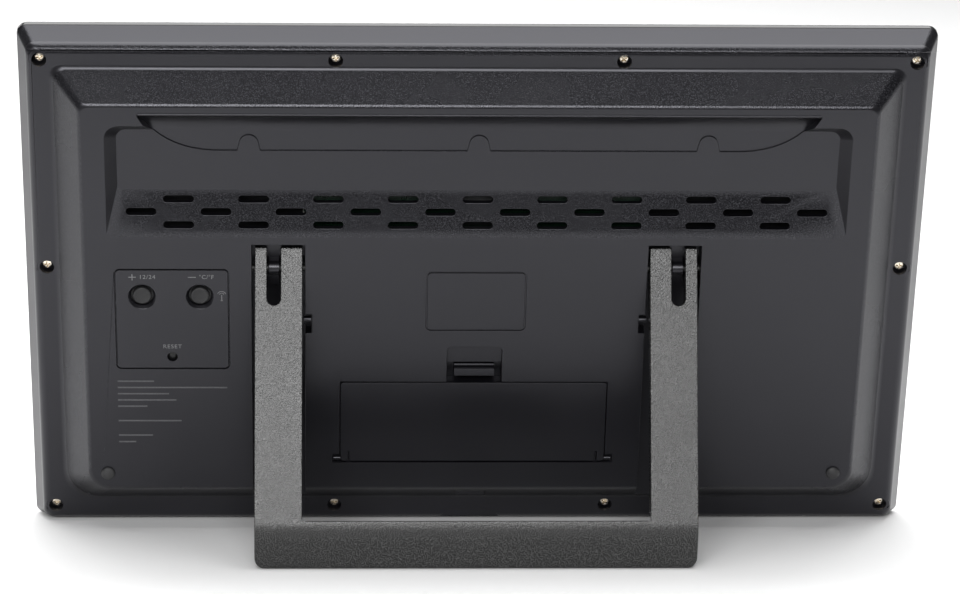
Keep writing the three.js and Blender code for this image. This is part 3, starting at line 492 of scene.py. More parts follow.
def rod(x, z, y0, y1, radius, sides=32, radius_at_y1=None):
    """A round rod along y, which tapers if it has another radius at y1."""
    last = radius if radius_at_y1 is None else radius_at_y1
    rings = [[(px, y, pz) for px, pz in circle(x, z, r, sides)] for y, r in ((y0, radius), (y1, last))]
    return skin("rod", rings)


def axle(x0, x1, y, z, radius, sides=32):
    """A round rod along x."""
    rings = [[(x, py, pz) for py, pz in circle(y, z, radius, sides)] for x in (x0, x1)]
    return skin("axle", rings)


def turned(name, profile, x, z, sides=40):
    """(radius, y) points turned round a line along y. The profile runs from the axis back to the axis."""
    inner = [(r, y) for r, y in profile if r > 0]
    rings = [[(px, y, pz) for px, pz in circle(x, z, r, sides)] for r, y in inner]
    return skin(name, rings)


def level(y, x0, x1, z0, z1, radius, low_radius=None):
    """A rounded rectangle at one depth."""
    return [(x, y, z) for x, z in rounded(x0, x1, z0, z1, radius, low_radius, 8)]


def pair(a, b):
    """Two places in rising order, as a mirrored part needs them."""
    return (a, b) if a < b else (b, a)


# %% Edges and places
def settle(piece, place):
    """Moves a mesh drawn in a part's own millimetres to its place, and leaves the object at the origin."""
    piece.data.transform(place)
    piece.data.update()
    return piece


def clean(piece, smallest=0.004):
    """Merges the doubled points that a cut leaves and joins faces that lie in one plane."""
    shape = bmesh.new()
    shape.from_mesh(piece.data)
    bmesh.ops.remove_doubles(shape, verts=shape.verts, dist=smallest)
    bmesh.ops.dissolve_limit(
        shape, angle_limit=math.radians(0.4), verts=shape.verts, edges=shape.edges, delimit={"NORMAL"})
    bmesh.ops.recalc_face_normals(shape, faces=shape.faces)
    shape.to_mesh(piece.data)
    shape.free()
    return piece


def soften(piece, width, segments=2, angle=32):
    """Rounds every edge that turns by more than the angle, as a moulding tool does."""
    bevel = piece.modifiers.new("edges", "BEVEL")
    bevel.width = width
    bevel.segments = segments
    bevel.limit_method = "ANGLE"
    bevel.angle_limit = math.radians(angle)
    bevel.use_clamp_overlap = False
    bevel.miter_outer = "MITER_ARC"
    return shade(baked(piece))


def shade(piece, angle=38):
    """Smooth over its rounds, while each flat face keeps its own direction because the large faces lead."""
    piece.data.polygons.foreach_set("use_smooth", [True] * len(piece.data.polygons))
    piece.data.set_sharp_from_angle(angle=math.radians(angle))
    leading = piece.modifiers.new("large faces lead", "WEIGHTED_NORMAL")
    leading.mode = "FACE_AREA"
    leading.weight = 50
    leading.keep_sharp = True
    return baked(piece)


def triangles(piece):
    return sum(len(face.vertices) - 2 for face in piece.data.polygons)


def keep(piece, body, slot, *nodes):
    """Hands a finished piece to the frame: the body it moves with and the nodes it stands for; its slot is not
    used.
    """
    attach(piece, body)
    if nodes:
        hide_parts(*nodes)
    print(piece.name, "rides on", body, "with", triangles(piece), "triangles")
    return piece


# %% [markdown]
# ## The rear cover
#
# The rear cover is one injection moulding: a tapered skirt, a ledge with ten sunk screw holes, and a raised
# middle that is hollowed by a long recess, two channels for the leg, a battery bay and the button holes. It
# could be sculpted as one surface, but every hollow in it has a plain outline and depth, so it is built as
# it was designed: an outside, minus an inside, minus its cuts. Then all edges are rounded at once.

# %% Sizes of the case
GAP = 0.3
WALL = 2.2
HALF_WIDTH = extent("rear_cover")[1].x
HALF_HEIGHT = extent("rear_cover")[1].z
PARTING = -11.5
FRONT_FACE = extent("front_frame")[0].y
PLATEAU = extent("rear_cover")[1].y
FOOT = {"x": 170.3, "bottom": -99.4, "top": 101.7}
TOP = {"x": 159.0, "bottom": -87.6, "top": 91.4}
CHANNEL = {"inner": 69.5, "outer": 91.2, "top": 28.6, "floor": 2.5}
RECESS_FLOOR = 7.7
GRIP_FLOOR = 7.1
screws = [middle(f"case_screw_{i + 1}") for i in range(10)]
keys = [middle("plus_button"), middle("minus_button")]
reset = middle("reset_button")
print("case %.0f by %.0f mm, raised to %.1f mm" % (2 * HALF_WIDTH, 2 * HALF_HEIGHT, PLATEAU))


# %% Outside and inside
def case_ring(y, inset, radius=4.0):
    """The case's outline at one depth, drawn in by the inset."""
    return level(y, inset - HALF_WIDTH, HALF_WIDTH - inset, inset - HALF_HEIGHT, HALF_HEIGHT - inset, radius)


def middle_ring(y, growth, radius, low_radius):
    """The raised middle's outline at one height, between its foot and its top."""
    share_up = y / PLATEAU
    x = FOOT["x"] + (TOP["x"] - FOOT["x"]) * share_up + growth
    bottom = FOOT["bottom"] + (TOP["bottom"] - FOOT["bottom"]) * share_up - growth
    top = FOOT["top"] + (TOP["top"] - FOOT["top"]) * share_up + growth
    return level(y, -x, x, bottom, top, radius, low_radius)


def quarter(steps):
    """Angles over a quarter turn."""
    return [i / steps * math.pi / 2 for i in range(steps + 1)]


def cover_outside():
    taper = 3.6
    edge = 3.8
    crest = 1.0
    cove = 1.1
    skirt = [case_ring(PARTING + GAP / 2, 0)]
    skirt += [case_ring(-edge + edge * math.sin(t), taper + edge * (1 - math.cos(t))) for t in quarter(12)]
    raised = [middle_ring(-1, cove, 6, 14)]
    raised += [
        middle_ring(cove * (1 - math.cos(t)), cove * (1 - math.sin(t)), 5, 13) for t in quarter(5)
    ]
    raised += [
        middle_ring(PLATEAU - crest * (1 - math.sin(t)), -crest * (1 - math.cos(t)), 3.5, 9.5)
        for t in quarter(6)
    ]
    return join(skin("rear_cover_shell", skirt), [skin("raised", raised)])


def cover_inside():
    slope_wall = WALL * 1.34
    skirt = skin("inside", [case_ring(PARTING - 1, WALL, 2.5), case_ring(-WALL, WALL + 3.9, 2.5)])
    raised = [
        middle_ring(-WALL - 0.5, -slope_wall, 4, 11),
        middle_ring(PLATEAU - WALL, -slope_wall, 2, 8),
    ]
    return join(skirt, [skin("raised", raised)])


print("case maker ready")

# %% [markdown]
# The long recess tapers on all four sides. Its lower side is a wide slope that carries the vents, and under
# the lip at its top a deeper pocket makes the grip and the hanging groove, with three round bumps that
# centre the heads of wall screws.

# %% Recess and grip
RIM = {"x": 149.3, "bottom": 32.1, "top": 82.2}
BED = {"x": 144.7, "bottom": 51.3, "top": 78.4}


def recess(deeper, growth):
    """The hollow of the recess. Made deeper and wider, it is also the wall that stays behind it."""
    rise = PLATEAU - RECESS_FLOOR
    above = 1.0
    lifted = {key: RIM[key] + (RIM[key] - BED[key]) / rise * above for key in RIM}

    def ring(sizes, y, radius, low_radius):
        x = sizes["x"] + growth
        bottom, top = sizes["bottom"] - growth, sizes["top"] + growth
        return level(y, -x, x, bottom, top, radius + growth, low_radius + growth)

    return skin("recess", [
        ring(BED, RECESS_FLOOR - deeper, 4, 2),
        ring(lifted, PLATEAU + above - deeper, 6, 2),
    ])


GRIP = {"top": 86.5, "bottom": 69.0, "half_top": 136.5, "half_bottom": 106.0, "lip": 0.9, "cove": 11.0}
BUMP = {"half": 4.6, "top": 76.0, "radius": 3.8}


def swept_end(side, steps=10):
    """The end of the grip, which sweeps in from its top corner to its lower edge."""
    start = Vector((side * GRIP["half_top"], GRIP["top"] + GRIP["lip"]))
    pull = Vector((side * (GRIP["half_top"] - 9), GRIP["bottom"] + 1))
    end = Vector((side * GRIP["half_bottom"], GRIP["bottom"]))
    points = []
    for i in range(steps + 1):
        t = i / steps
        point = start * (1 - t) ** 2 + pull * 2 * t * (1 - t) + end * t ** 2
        points.append((point.x, point.y))
    return points


def grip():
    """The hollow of the grip: its outline, and a section that rounds over the lip and sweeps into a cove."""
    outline = swept_end(-1)
    for x in (-92, 0, 92):
        outline.append((x - BUMP["half"], GRIP["bottom"]))
        outline += arc(x, BUMP["top"] - BUMP["radius"], BUMP["radius"], 1.9, 0.1, 10)
        outline.append((x + BUMP["half"], GRIP["bottom"]))
    outline += swept_end(1)[::-1]
    lip, cove = GRIP["lip"], GRIP["cove"]
    section = [(GRIP["top"] + lip, PLATEAU + 1)]
    section += arc(GRIP["top"] + lip, PLATEAU - lip, lip, 1, 2, 6)
    steepest = math.acos(1 - (PLATEAU - lip - GRIP_FLOOR) / cove)
    foot = GRIP["top"] - cove * math.sin(steepest)
    turns = [steepest * (1 - i / 16) for i in range(17)]
    section += [(foot + cove * math.sin(t), GRIP_FLOOR + cove * (1 - math.cos(t))) for t in turns]
    section += [(GRIP["bottom"] - 2, GRIP_FLOOR), (GRIP["bottom"] - 2, PLATEAU + 1)]
    return share(prism(outline, GRIP_FLOOR - 1, PLATEAU + 2, "grip"), beam(section, -150, 150))


# %% [markdown]
# ### The vents
#
# Twenty-eight slots in three rows, the middle row half a pitch aside. Each slot is the same cut, so a small
# Geometry Nodes tree lays slots along a row: it needs only a count, a pitch and the row's height, and one
# row can be changed without touching the others.

# %% Helpers for node trees that make copies
def copying_tree(name, sockets):
    """A node tree with named inputs, and its input node."""
    tree = bpy.data.node_groups.new(name, "GeometryNodeTree")
    for label, kind in sockets.items():
        tree.interface.new_socket(label, in_out="INPUT", socket_type="NodeSocket" + kind)
    tree.interface.new_socket("Geometry", in_out="OUTPUT", socket_type="NodeSocketGeometry")
    return tree, tree.nodes.new("NodeGroupInput")


def copy_to_points(tree, given, points):
    """Puts the given solid on every point, makes the copies real and gives them the finish."""
    nodes, links = tree.nodes, tree.links
    solid = nodes.new("GeometryNodeObjectInfo")
    copies = nodes.new("GeometryNodeInstanceOnPoints")
    real = nodes.new("GeometryNodeRealizeInstances")
    finish = nodes.new("GeometryNodeSetMaterial")
    out = nodes.new("NodeGroupOutput")
    links.new(given.outputs["Solid"], solid.inputs["Object"])
    links.new(points, copies.inputs["Points"])
    links.new(solid.outputs["Geometry"], copies.inputs["Instance"])
    links.new(copies.outputs[0], real.inputs[0])
    links.new(real.outputs[0], finish.inputs[0])
    links.new(given.outputs["Material"], finish.inputs["Material"])
    links.new(finish.outputs[0], out.inputs[0])
    return copies


# %% A node tree that lays one solid in a row
def row_tree():
    tree, given = copying_tree("row_of_slots", {
        "Solid": "Object", "Count": "Int", "Pitch": "Float", "Height on panel": "Float",
        "Material": "Material",
    })
    nodes, links = tree.nodes, tree.links
    line = nodes.new("GeometryNodeMeshLine")
    step = nodes.new("ShaderNodeCombineXYZ")
    half_back = nodes.new("ShaderNodeMath")
    half_back.operation = "MULTIPLY_ADD"
    half_back.inputs[1].default_value = -0.5
    half_back.inputs[2].default_value = 0.5
    start_x = nodes.new("ShaderNodeMath")
    start_x.operation = "MULTIPLY"
    start = nodes.new("ShaderNodeCombineXYZ")
    links.new(given.outputs["Count"], line.inputs["Count"])
    links.new(given.outputs["Pitch"], step.inputs["X"])
    links.new(step.outputs[0], line.inputs["Offset"])
    links.new(given.outputs["Count"], half_back.inputs[0])
    links.new(half_back.outputs[0], start_x.inputs[0])
    links.new(given.outputs["Pitch"], start_x.inputs[1])
    links.new(start_x.outputs[0], start.inputs["X"])
    links.new(given.outputs["Height on panel"], start.inputs["Z"])
    links.new(start.outputs[0], line.inputs["Start Location"])
    copy_to_points(tree, given, line.outputs[0])
    return tree


def set_input(modifier, name, value):
    """Sets a named input of a node tree by the identifier of its socket."""
    for item in modifier.node_group.interface.items_tree:
        if item.name == name and item.in_out == "INPUT":
            modifier[item.identifier] = value


ROWS = row_tree()
SLOT = {"length": 12.2, "height": 2.8, "pitch": 30.08}
VENT_ROWS = [(9, 47.5), (10, 42.4), (9, 37.1)]


def vent_rows(material):
    half = SLOT["length"] / 2
    radius = SLOT["height"] / 2
    outline = rounded(-half, half, -radius, radius, radius - 0.01, steps=5)
    slot = prism(outline, 0, PLATEAU + 2, "slot")
    rows = []
    for count, height in VENT_ROWS:
        row = link("vent_row", bpy.data.meshes.new("vent_row"))
        nodes = row.modifiers.new("row", "NODES")
        nodes.node_group = ROWS
        set_input(nodes, "Solid", slot)
        set_input(nodes, "Count", count)
        set_input(nodes, "Pitch", SLOT["pitch"])
        set_input(nodes, "Height on panel", height)
        set_input(nodes, "Material", material)
        rows.append(baked(row))
    remove(slot)
    print("vent slots:", sum(count for count, _ in VENT_ROWS))
    return rows


# %% [markdown]
# ### Everything that is cut into the back

# %% Channels, skins and lugs
DOOR = {"x": 54.9, "bottom": -74.1, "top": -36.1, "axis_y": 11.6, "axis_z": -73.2}
BAY = {"x": 54.3, "bottom": -71.5, "top": -39.5, "floor": -5.1}
DOOR_SEAT = PLATEAU - 2.3
LATCH = {"half": 11.3, "bottom": -35.9, "top": -19.0, "floor": 9.2}
POCKET = {"bottom": -37.9, "top": -28.2, "floor": 4.0}
CATCH = (-6.2, 6.2, 1, 7, -98.4, -90)
CATCH_WALLS = (-8, 8, -2.5, 8.8, -101, -86)
NOTCH = {"inner": 66.9, "bottom": -12.4, "top": -3.7, "floor": 6.0}
CUP_RADIUS = 2.9
CUP_UNDERSIDE = -5.7
SKIN = 1.6
PEG_REACH = 58.4
PIN_RADIUS = 1.8
SIDES = (-1, 1)


def channel_blocks():
    """The two channels that the arms fold into, each with the notch that its nib stands in."""
    blocks = []
    for side in SIDES:
        x0, x1 = pair(side * CHANNEL["inner"], side * CHANNEL["outer"])
        blocks.append(block(x0, x1, CHANNEL["floor"], PLATEAU + 1, -112, CHANNEL["top"]))
        x0, x1 = pair(side * NOTCH["inner"], side * (CHANNEL["inner"] + 0.5))
        blocks.append(block(x0, x1, NOTCH["floor"], PLATEAU + 1, NOTCH["bottom"], NOTCH["top"]))
    return blocks


def skins_kept():
    """What stays solid inside the shell: the floors of its recesses, the bay and the channels."""
    latch_wall = LATCH["half"] + SKIN
    kept = [
        recess(WALL, 1.4),
        block(-GRIP["half_top"] - 2, GRIP["half_top"] + 2, GRIP_FLOOR - 1.8, PLATEAU,
              GRIP["bottom"] - 2, GRIP["top"] + 2),
        block(-BAY["x"] - SKIN, BAY["x"] + SKIN, BAY["floor"] - SKIN, PLATEAU,
              BAY["bottom"] - SKIN, BAY["top"] + SKIN),
        block(-PEG_REACH - SKIN, PEG_REACH + SKIN, DOOR_SEAT - 1.8, PLATEAU,
              DOOR["bottom"] - 2, DOOR["top"] + 2),
        block(-latch_wall, latch_wall, POCKET["floor"] - SKIN, PLATEAU,
              POCKET["bottom"] - SKIN, POCKET["top"] + SKIN),
        block(-latch_wall, latch_wall, LATCH["floor"] - SKIN, PLATEAU, -30, LATCH["top"] + SKIN),
        block(*CATCH_WALLS),
    ]
    for side in SIDES:
        x0, x1 = pair(side * (CHANNEL["inner"] - WALL), side * (CHANNEL["outer"] + WALL))
        kept.append(block(x0, x1, CHANNEL["floor"] - WALL, PLATEAU, FOOT["bottom"], CHANNEL["top"] + WALL))
        x0, x1 = pair(side * (NOTCH["inner"] - 1.8), side * CHANNEL["inner"])
        bottom, top = NOTCH["bottom"] - SKIN, NOTCH["top"] + SKIN
        kept.append(block(x0, x1, NOTCH["floor"] - SKIN, PLATEAU, bottom, top))
        for near, far in ((CHANNEL["inner"] - 5, CHANNEL["inner"]), (CHANNEL["outer"], CHANNEL["outer"] + 4)):
            x0, x1 = pair(side * near, side * far)
            kept.append(axle(x0, x1, PIVOT_Y, PIVOT_Z, PIN_RADIUS + 2.4))
    return kept


def hinge_lug(side):
    """The round lug between the two tines of an arm."""
    x0, x1 = pair(side * 80, side * 84.4)
    tongue = block(x0, x1, CHANNEL["floor"] - 0.5, PIVOT_Y, PIVOT_Z - 8, PIVOT_Z + 3)
    return join(axle(x0, x1, PIVOT_Y, PIVOT_Z, 3.1), [tongue])


def snap_nib(side):
    """A small nib beside the channel that holds the folded arm."""
    x0, x1 = pair(side * (NOTCH["inner"] - 0.5), side * 70.3)
    return axle(x0, x1, 9, -8, 1.4, 20)


# %% Holes and hollows
PANEL = {"x0": 100.3, "x1": 146.8, "z0": -29.6, "z1": 17.4, "radius": 2.2, "width": 0.55, "depth": 1.2}
SCOOP = {"z": -118, "radius": 14.6, "depth": 1.1}
KEY_HOLE = {"radius": 4.6, "rim": 5.8, "rim_depth": 1.4}
LABEL = {"x0": -20.5, "x1": 20.4, "z0": -11.2, "z1": 16.4, "radius": 2.2, "width": 0.65, "depth": 0.6}


def groove(sizes):
    """A narrow groove along a rounded rectangle."""
    edges = [sizes[key] for key in ("x0", "x1", "z0", "z1")]
    wide = sizes["width"]
    inner = [edge + wide * sign for edge, sign in zip(edges, (1, -1, 1, -1))]
    outline = prism(rounded(*edges, sizes["radius"]), PLATEAU - sizes["depth"], PLATEAU + 1)
    return cut(outline, [prism(rounded(*inner, sizes["radius"] - wide), 0, PLATEAU + 2)])


def back_cuts():
    """All holes, wells and grooves of the back, apart from the vents."""
    well = rounded(-LATCH["half"], LATCH["half"], LATCH["bottom"], LATCH["top"], 2)
    cuts = [
        groove(PANEL),
        groove(LABEL),
        rod(reset.x, reset.z, PLATEAU - WALL - 1, PLATEAU + 1, 2.1),
        block(-DOOR["x"] - 0.4, DOOR["x"] + 0.4, DOOR_SEAT, PLATEAU + 1,
              DOOR["bottom"] - 0.8, DOOR["top"] + 0.4),
        block(-BAY["x"], BAY["x"], BAY["floor"], PLATEAU + 1, BAY["bottom"], BAY["top"]),
        block(-PEG_REACH, PEG_REACH, DOOR_SEAT - 0.6, PLATEAU + 1, DOOR["bottom"] - 0.8, BAY["bottom"] + 0.6),
        prism(well, LATCH["floor"], PLATEAU + 1),
        block(-LATCH["half"], LATCH["half"], POCKET["floor"], PLATEAU + 1, POCKET["bottom"], POCKET["top"]),
        block(*CATCH),
        rod(0, SCOOP["z"], -SCOOP["depth"], 1, SCOOP["radius"], 96),
    ]
    for key in keys:
        hole, rim = KEY_HOLE["radius"], KEY_HOLE["rim"]
        cuts.append(rod(key.x, key.z, PLATEAU - WALL - 1, PLATEAU + 1, hole, 48))
        cuts.append(rod(key.x, key.z, PLATEAU - KEY_HOLE["rim_depth"], PLATEAU + 0.1, hole, 48, rim))
    for side in SIDES:
        bumper = middle("wall_bumper_left" if side > 0 else "wall_bumper_right")
        cuts.append(rod(bumper.x, bumper.z, PLATEAU - SKIN, PLATEAU + 1, 1.8))
        x0, x1 = pair(side * (CHANNEL["inner"] - WALL), side * (CHANNEL["outer"] + WALL))
        cuts.append(axle(x0, x1, PIVOT_Y, PIVOT_Z, PIN_RADIUS))
    for screw in screws:
        cuts.append(rod(screw.x, screw.z, CUP_UNDERSIDE + SKIN, 1, CUP_RADIUS, 40))
        cuts.append(rod(screw.x, screw.z, CUP_UNDERSIDE - 1, 0, 1.4, 24))
    return cuts


def rear_cover():
    """The whole moulding: outside less inside, then lugs and cups on, holes out, and every edge rounded."""
    plain = bpy.data.materials.new("unpainted")
    outside = cut(cover_outside(), [recess(0, 0), grip(), *channel_blocks()])
    inside = cut(cover_inside(), skins_kept())
    shell = cut(outside, [inside])
    cups = [rod(s.x, s.z, CUP_UNDERSIDE, -0.5, CUP_RADIUS + 1.4, 40) for s in screws]
    bead_end = GRIP["half_top"] - 0.8
    bead = axle(-bead_end, bead_end, PLATEAU - 0.12, GRIP["top"] + GRIP["lip"], 0.5, 20)
    shell = join(shell, [bead, *cups, *[hinge_lug(s) for s in SIDES], *[snap_nib(s) for s in SIDES]])
    shell = cut(shell, [*vent_rows(plain), *back_cuts()])
    bpy.data.materials.remove(plain)
    return soften(clean(shell), 0.22)


cover = settle(rear_cover(), CASE)
print("rear cover:", triangles(cover), "triangles")

# %% Two grains on one moulding
def sloped(face):
    """True where the spark-eroded grain is: the slopes round the raised middle and the vent band."""
    across = (CASE.to_3x3().inverted() @ face.normal).normalized()
    point = CASE.inverted() @ face.center
    tilted = 0.2 < across.y < 0.98
    on_rim = point.y > 0.9 and tilted and max(abs(across.x), abs(across.z)) > 0.15
    inside_recess = RIM["bottom"] - 1 < point.z < RIM["top"] + 1 and abs(point.x) < RIM["x"] + 1
    if inside_recess:
        return tilted and across.z > 0.15
    if point.y < 0:
        return across.y > 0.45 and across.z > 0.08
    return on_rim and (abs(point.x) >= CHANNEL["outer"] + 1 or point.z > TOP["top"] - 1)


def grain_by_place(piece):
    """Satin over the whole cover, with the coarse grain on its slopes."""
    piece.data.materials.clear()
    piece.data.materials.append(satin)
    piece.data.materials.append(spark)
    for face in piece.data.polygons:
        face.material_index = 1 if sloped(face) and face.area > 2e-6 else 0


grain_by_place(cover)
keep(cover, "case", "case_black", "rear_cover")

# %% [markdown]
# ## The fold-out leg
#
# The leg is a U of one thick moulding: two arms with forked ends that straddle the hinge lugs, and a cross
# bar that bends towards the table and is cut flat where it stands. It is drawn folded, in its own axes with
# the hinge line at zero, from a side profile pushed through the whole width and an outline that trims it.
# The back of each arm and of the bar is hollowed into ribs, as thick mouldings are, so that it cools
# without sinking.

# %% Side profile of the leg
ARM = {"inner": 70.6, "outer": 89.9, "face": 6.7, "back": -2.9, "tip": 8.0}
FORK = {"left": 79.4, "right": 85.0, "bottom": 15.9}
LEG_WALL = 2.2
BAR_TOP = 103.1
BEND = {"at": 107.95, "angle": math.radians(28.5), "radius": 16.0, "foot": 16.4}
UNDERSIDE = -5.4
foot_u = BEND["at"] + BEND["foot"] * math.cos(BEND["angle"])
foot_n = ARM["face"] - BEND["foot"] * math.sin(BEND["angle"])


def slope_line(share_down):
    """A point half a millimetre above the case's bottom slope, down the folded leg and out of it."""
    start = Vector((PIVOT_Z - TOP["bottom"], PLATEAU - PIVOT_Y))
    end = Vector((PIVOT_Z - FOOT["bottom"], -PIVOT_Y))
    line = end - start
    aside = Vector((-line.y, line.x)).normalized() * 0.5
    return start + line * share_down + aside


def leg_beam(points, x0, x1):
    """A side profile of the folded leg, in points down the arm and out of it, pushed from x0 to x1."""
    return beam([(-down, out) for down, out in points], x0, x1)


def leg_profile():
    tangent = BEND["radius"] * math.tan(BEND["angle"] / 2)
    bend = []
    for i in range(13):
        angle = BEND["angle"] * i / 12
        bend.append((
            BEND["at"] - tangent + BEND["radius"] * math.sin(angle),
            ARM["face"] - BEND["radius"] * (1 - math.cos(angle)),
        ))
    sole_inner = foot_u - (foot_n - UNDERSIDE) * math.tan(OPEN - LEAN)
    return [
        (-ARM["tip"], ARM["face"] - 0.5), (-ARM["tip"] + 0.5, ARM["face"]), *bend,
        (foot_u, foot_n), (sole_inner, UNDERSIDE), (slope_line(0.958).x, UNDERSIDE),
        (slope_line(0.76).x, ARM["back"]), (0.4, ARM["back"]), (-ARM["tip"], 2.1),
    ]


# %% Hollows, forks and the whole leg
def leg_cuts():
    """The window between the arms, the forks, the hinge holes and the hollows of the back."""
    first = slope_line(-0.3)
    last = slope_line(1.2)
    wedge = [tuple(first), tuple(last), (last.x, -12), (90, -12), (90, first.y)]
    cuts = [
        prism(rounded(-ARM["inner"], ARM["inner"], -BAR_TOP, ARM["tip"] + 20, 1.9), -20, 20),
        leg_beam(wedge, -ARM["inner"], ARM["inner"]),
    ]
    hollow = [(104.8, 4.5), (109.2, 4), (119.4, -1.6), (118.4, -8), (100, -8), (100, 4.5)]
    pitch = 22.1
    rib = 0.8
    for k in range(8):
        centre = (k - 3.5) * pitch
        x0 = max(centre - pitch / 2 + rib, LEG_WALL - ARM["outer"])
        x1 = min(centre + pitch / 2 - rib, ARM["outer"] - LEG_WALL)
        cuts.append(leg_beam(hollow, x0, x1))
    for side in SIDES:
        x0, x1 = pair(side * FORK["left"], side * FORK["right"])
        cuts.append(prism(rounded(x0, x1, -FORK["bottom"], ARM["tip"] + 10, 2.79), -20, 20))
        x0, x1 = pair(side * (ARM["inner"] - 10), side * (ARM["outer"] + 10))
        cuts.append(axle(x0, x1, 0, 0, PIN_RADIUS))
        x0, x1 = pair(side * (ARM["inner"] + LEG_WALL), side * (ARM["outer"] - LEG_WALL))
        for down in (20, 38, 56, 74):
            cuts.append(block(x0, x1, ARM["back"] - 1, ARM["face"] - 2.4, -down - 16.6, -down))
    return cuts


def leg():
    whole = leg_beam(leg_profile(), -ARM["outer"], ARM["outer"])
    outline = rounded(-ARM["outer"], ARM["outer"], -foot_u, ARM["tip"] + 4, 4.2)
    whole = share(whole, prism(outline, -20, 20))
    whole = cut(whole, leg_cuts())
    nib = leg_beam([(109.6, -1), (107.6, -1.7), (107.9, -2.4), (113, -3.4)], -4.5, 4.5)
    whole = join(whole, [nib])
    whole.name = "stand_leg_moulding"
    return soften(clean(whole), 0.35, 3)


stand = paint(settle(leg(), LEG), leg_spark)
keep(stand, "stand_leg", "stand_black", "stand")

# %% [markdown]
# ## The front
#
# The side that faces the room is a glossy frame round a clear window, with the LCD behind it. The frame is
# a shallow tray: its rim meets the rear cover in a thin parting line that shows all round the edge.

# %% Front frame
WINDOW = extent("display_window")
window_x = WINDOW[1].x - 3
window_z = WINDOW[1].z - 3


def front_frame():
    """A shallow tray with a window, and a lip round its inside that centres the rear cover."""
    edge = 1.8
    rings = [case_ring(PARTING - GAP / 2, 0)]
    rings += [
        case_ring(FRONT_FACE + edge * (1 - math.sin(t)), edge * (1 - math.cos(t))) for t in quarter(8)
    ]
    outside = skin("front_bezel", rings[::-1])
    inner_x, inner_z = HALF_WIDTH - 2.6, HALF_HEIGHT - 2.6
    tray = prism(rounded(-inner_x, inner_x, -inner_z, inner_z, 2), FRONT_FACE + 2.2, 0)
    hole = prism(rounded(-window_x, window_x, -window_z, window_z, 1.5), FRONT_FACE - 1, 0)
    lip_x, lip_z = HALF_WIDTH - 4, HALF_HEIGHT - 4
    lip = prism(rounded(-lip_x, lip_x, -lip_z, lip_z, 2), FRONT_FACE + 2, PARTING + 1.8)
    lip_hole = prism(
        rounded(1.4 - lip_x, lip_x - 1.4, 1.4 - lip_z, lip_z - 1.4, 1.5), FRONT_FACE + 1, 0)
    whole = join(cut(outside, [tray]), [cut(lip, [lip_hole])])
    return soften(clean(cut(whole, [hole])), 0.25, 3)


bezel = paint(settle(front_frame(), CASE), gloss)
keep(bezel, "case", "gloss_black", "front_frame")
paint(frame["nodes"]["display_window"], window_clear)
paint(frame["nodes"]["lcd_glass"], display_field)

# %% [markdown]
# ### What the display shows
#
# LCD digits are seven bars each, and the bars that are off still show faintly. A loop draws every bar from
# a table of the seven places, so the time, the date and the temperature are only strings.

# %% Seven-bar digits
BARS = {
    "a": ((0, 1), (1, 1)), "b": ((1, 1), (1, 0.5)), "c": ((1, 0.5), (1, 0)), "d": ((0, 0), (1, 0)),
    "e": ((0, 0), (0, 0.5)), "f": ((0, 0.5), (0, 1)), "g": ((0, 0.5), (1, 0.5)),
}
LIT = {
    "0": "abcdef", "1": "bc", "2": "abdeg", "3": "abcdg", "4": "bcfg", "5": "acdfg", "6": "acdefg",
    "7": "abc", "8": "abcdefg", "9": "abcdfg", "C": "adef", " ": "",
}
SLANT = 0.08


def bar_outline(start, end, thick, gap):
    """A bar with pointed ends between two corners of a digit."""
    line = (end - start).normalized()
    aside = Vector((-line.y, line.x)) * thick / 2
    first = start + line * gap
    last = end - line * gap
    return [
        first, first + line * thick / 2 + aside, last - line * thick / 2 + aside,
        last, last - line * thick / 2 - aside, first + line * thick / 2 - aside,
    ]


def digit_bars(sign, x, z, width, height, thick):
    """The bars of one digit: those that are on, and those that are off."""
    on, off = [], []
    for name, (start, end) in BARS.items():
        corners = [Vector((x + px * width + SLANT * pz * height, z + pz * height)) for px, pz in (start, end)]
        outline = bar_outline(*corners, thick, thick * 0.12)
        (on if name in LIT[sign] else off).append(outline)
    return on, off


def square(x, z, size):
    half = size / 2
    return [Vector((x + a * half, z + b * half)) for a, b in ((-1, -1), (1, -1), (1, 1), (-1, 1))]


def number(text, x, z, width, height, thick):
    """A row of digits from the left, with dots and colons between them."""
    on, off = [], []
    step = width * 1.42
    for sign in text:
        if sign == ":":
            on += [square(x + thick * 0.2 + SLANT * height * p, z + height * p, thick) for p in (0.3, 0.7)]
            x += thick * 2.2
        elif sign == ".":
            on.append(square(x - thick * 0.9, z, thick))
            x += thick * 0.6
        else:
            lit, unlit = digit_bars(sign, x, z, width, height, thick)
            on += lit
            off += unlit
            x += step
    return on, off


# %% The display's pattern
# Text, left edge, foot, then the width, the height and the bars' thickness of its digits.
NUMBERS = (
    ("12:48", -136, 6, 40, 76, 9),
    ("36", 112, 6, 14, 26, 3.2),
    ("24.06", -148, -78, 17, 34, 4),
    ("21.5", 8, -78, 20, 40, 4.6),
    ("C", 108, -78, 13, 26, 3.2),
)
LCD_FACE = extent("lcd_glass")[0].y


def flat_pattern(name, outlines, y, thickness, material):
    """Thin raised patches on the front, one for each outline."""
    shape = bmesh.new()
    for outline in outlines:
        low = [shape.verts.new((p.x, y, p.y)) for p in outline]
        high = [shape.verts.new((p.x, y - thickness, p.y)) for p in outline]
        count = len(outline)
        shape.faces.new(low)
        shape.faces.new(high[::-1])
        for i in range(count):
            j = (i + 1) % count
            shape.faces.new((low[i], high[i], high[j], low[j]))
    return paint(settle(from_bmesh(name, shape), CASE), material)


def panel_line(x0, x1, z0, z1):
    """A straight line on the display, as an upright rectangle."""
    return [Vector(p) for p in ((x0, z0), (x1, z0), (x1, z1), (x0, z1))]


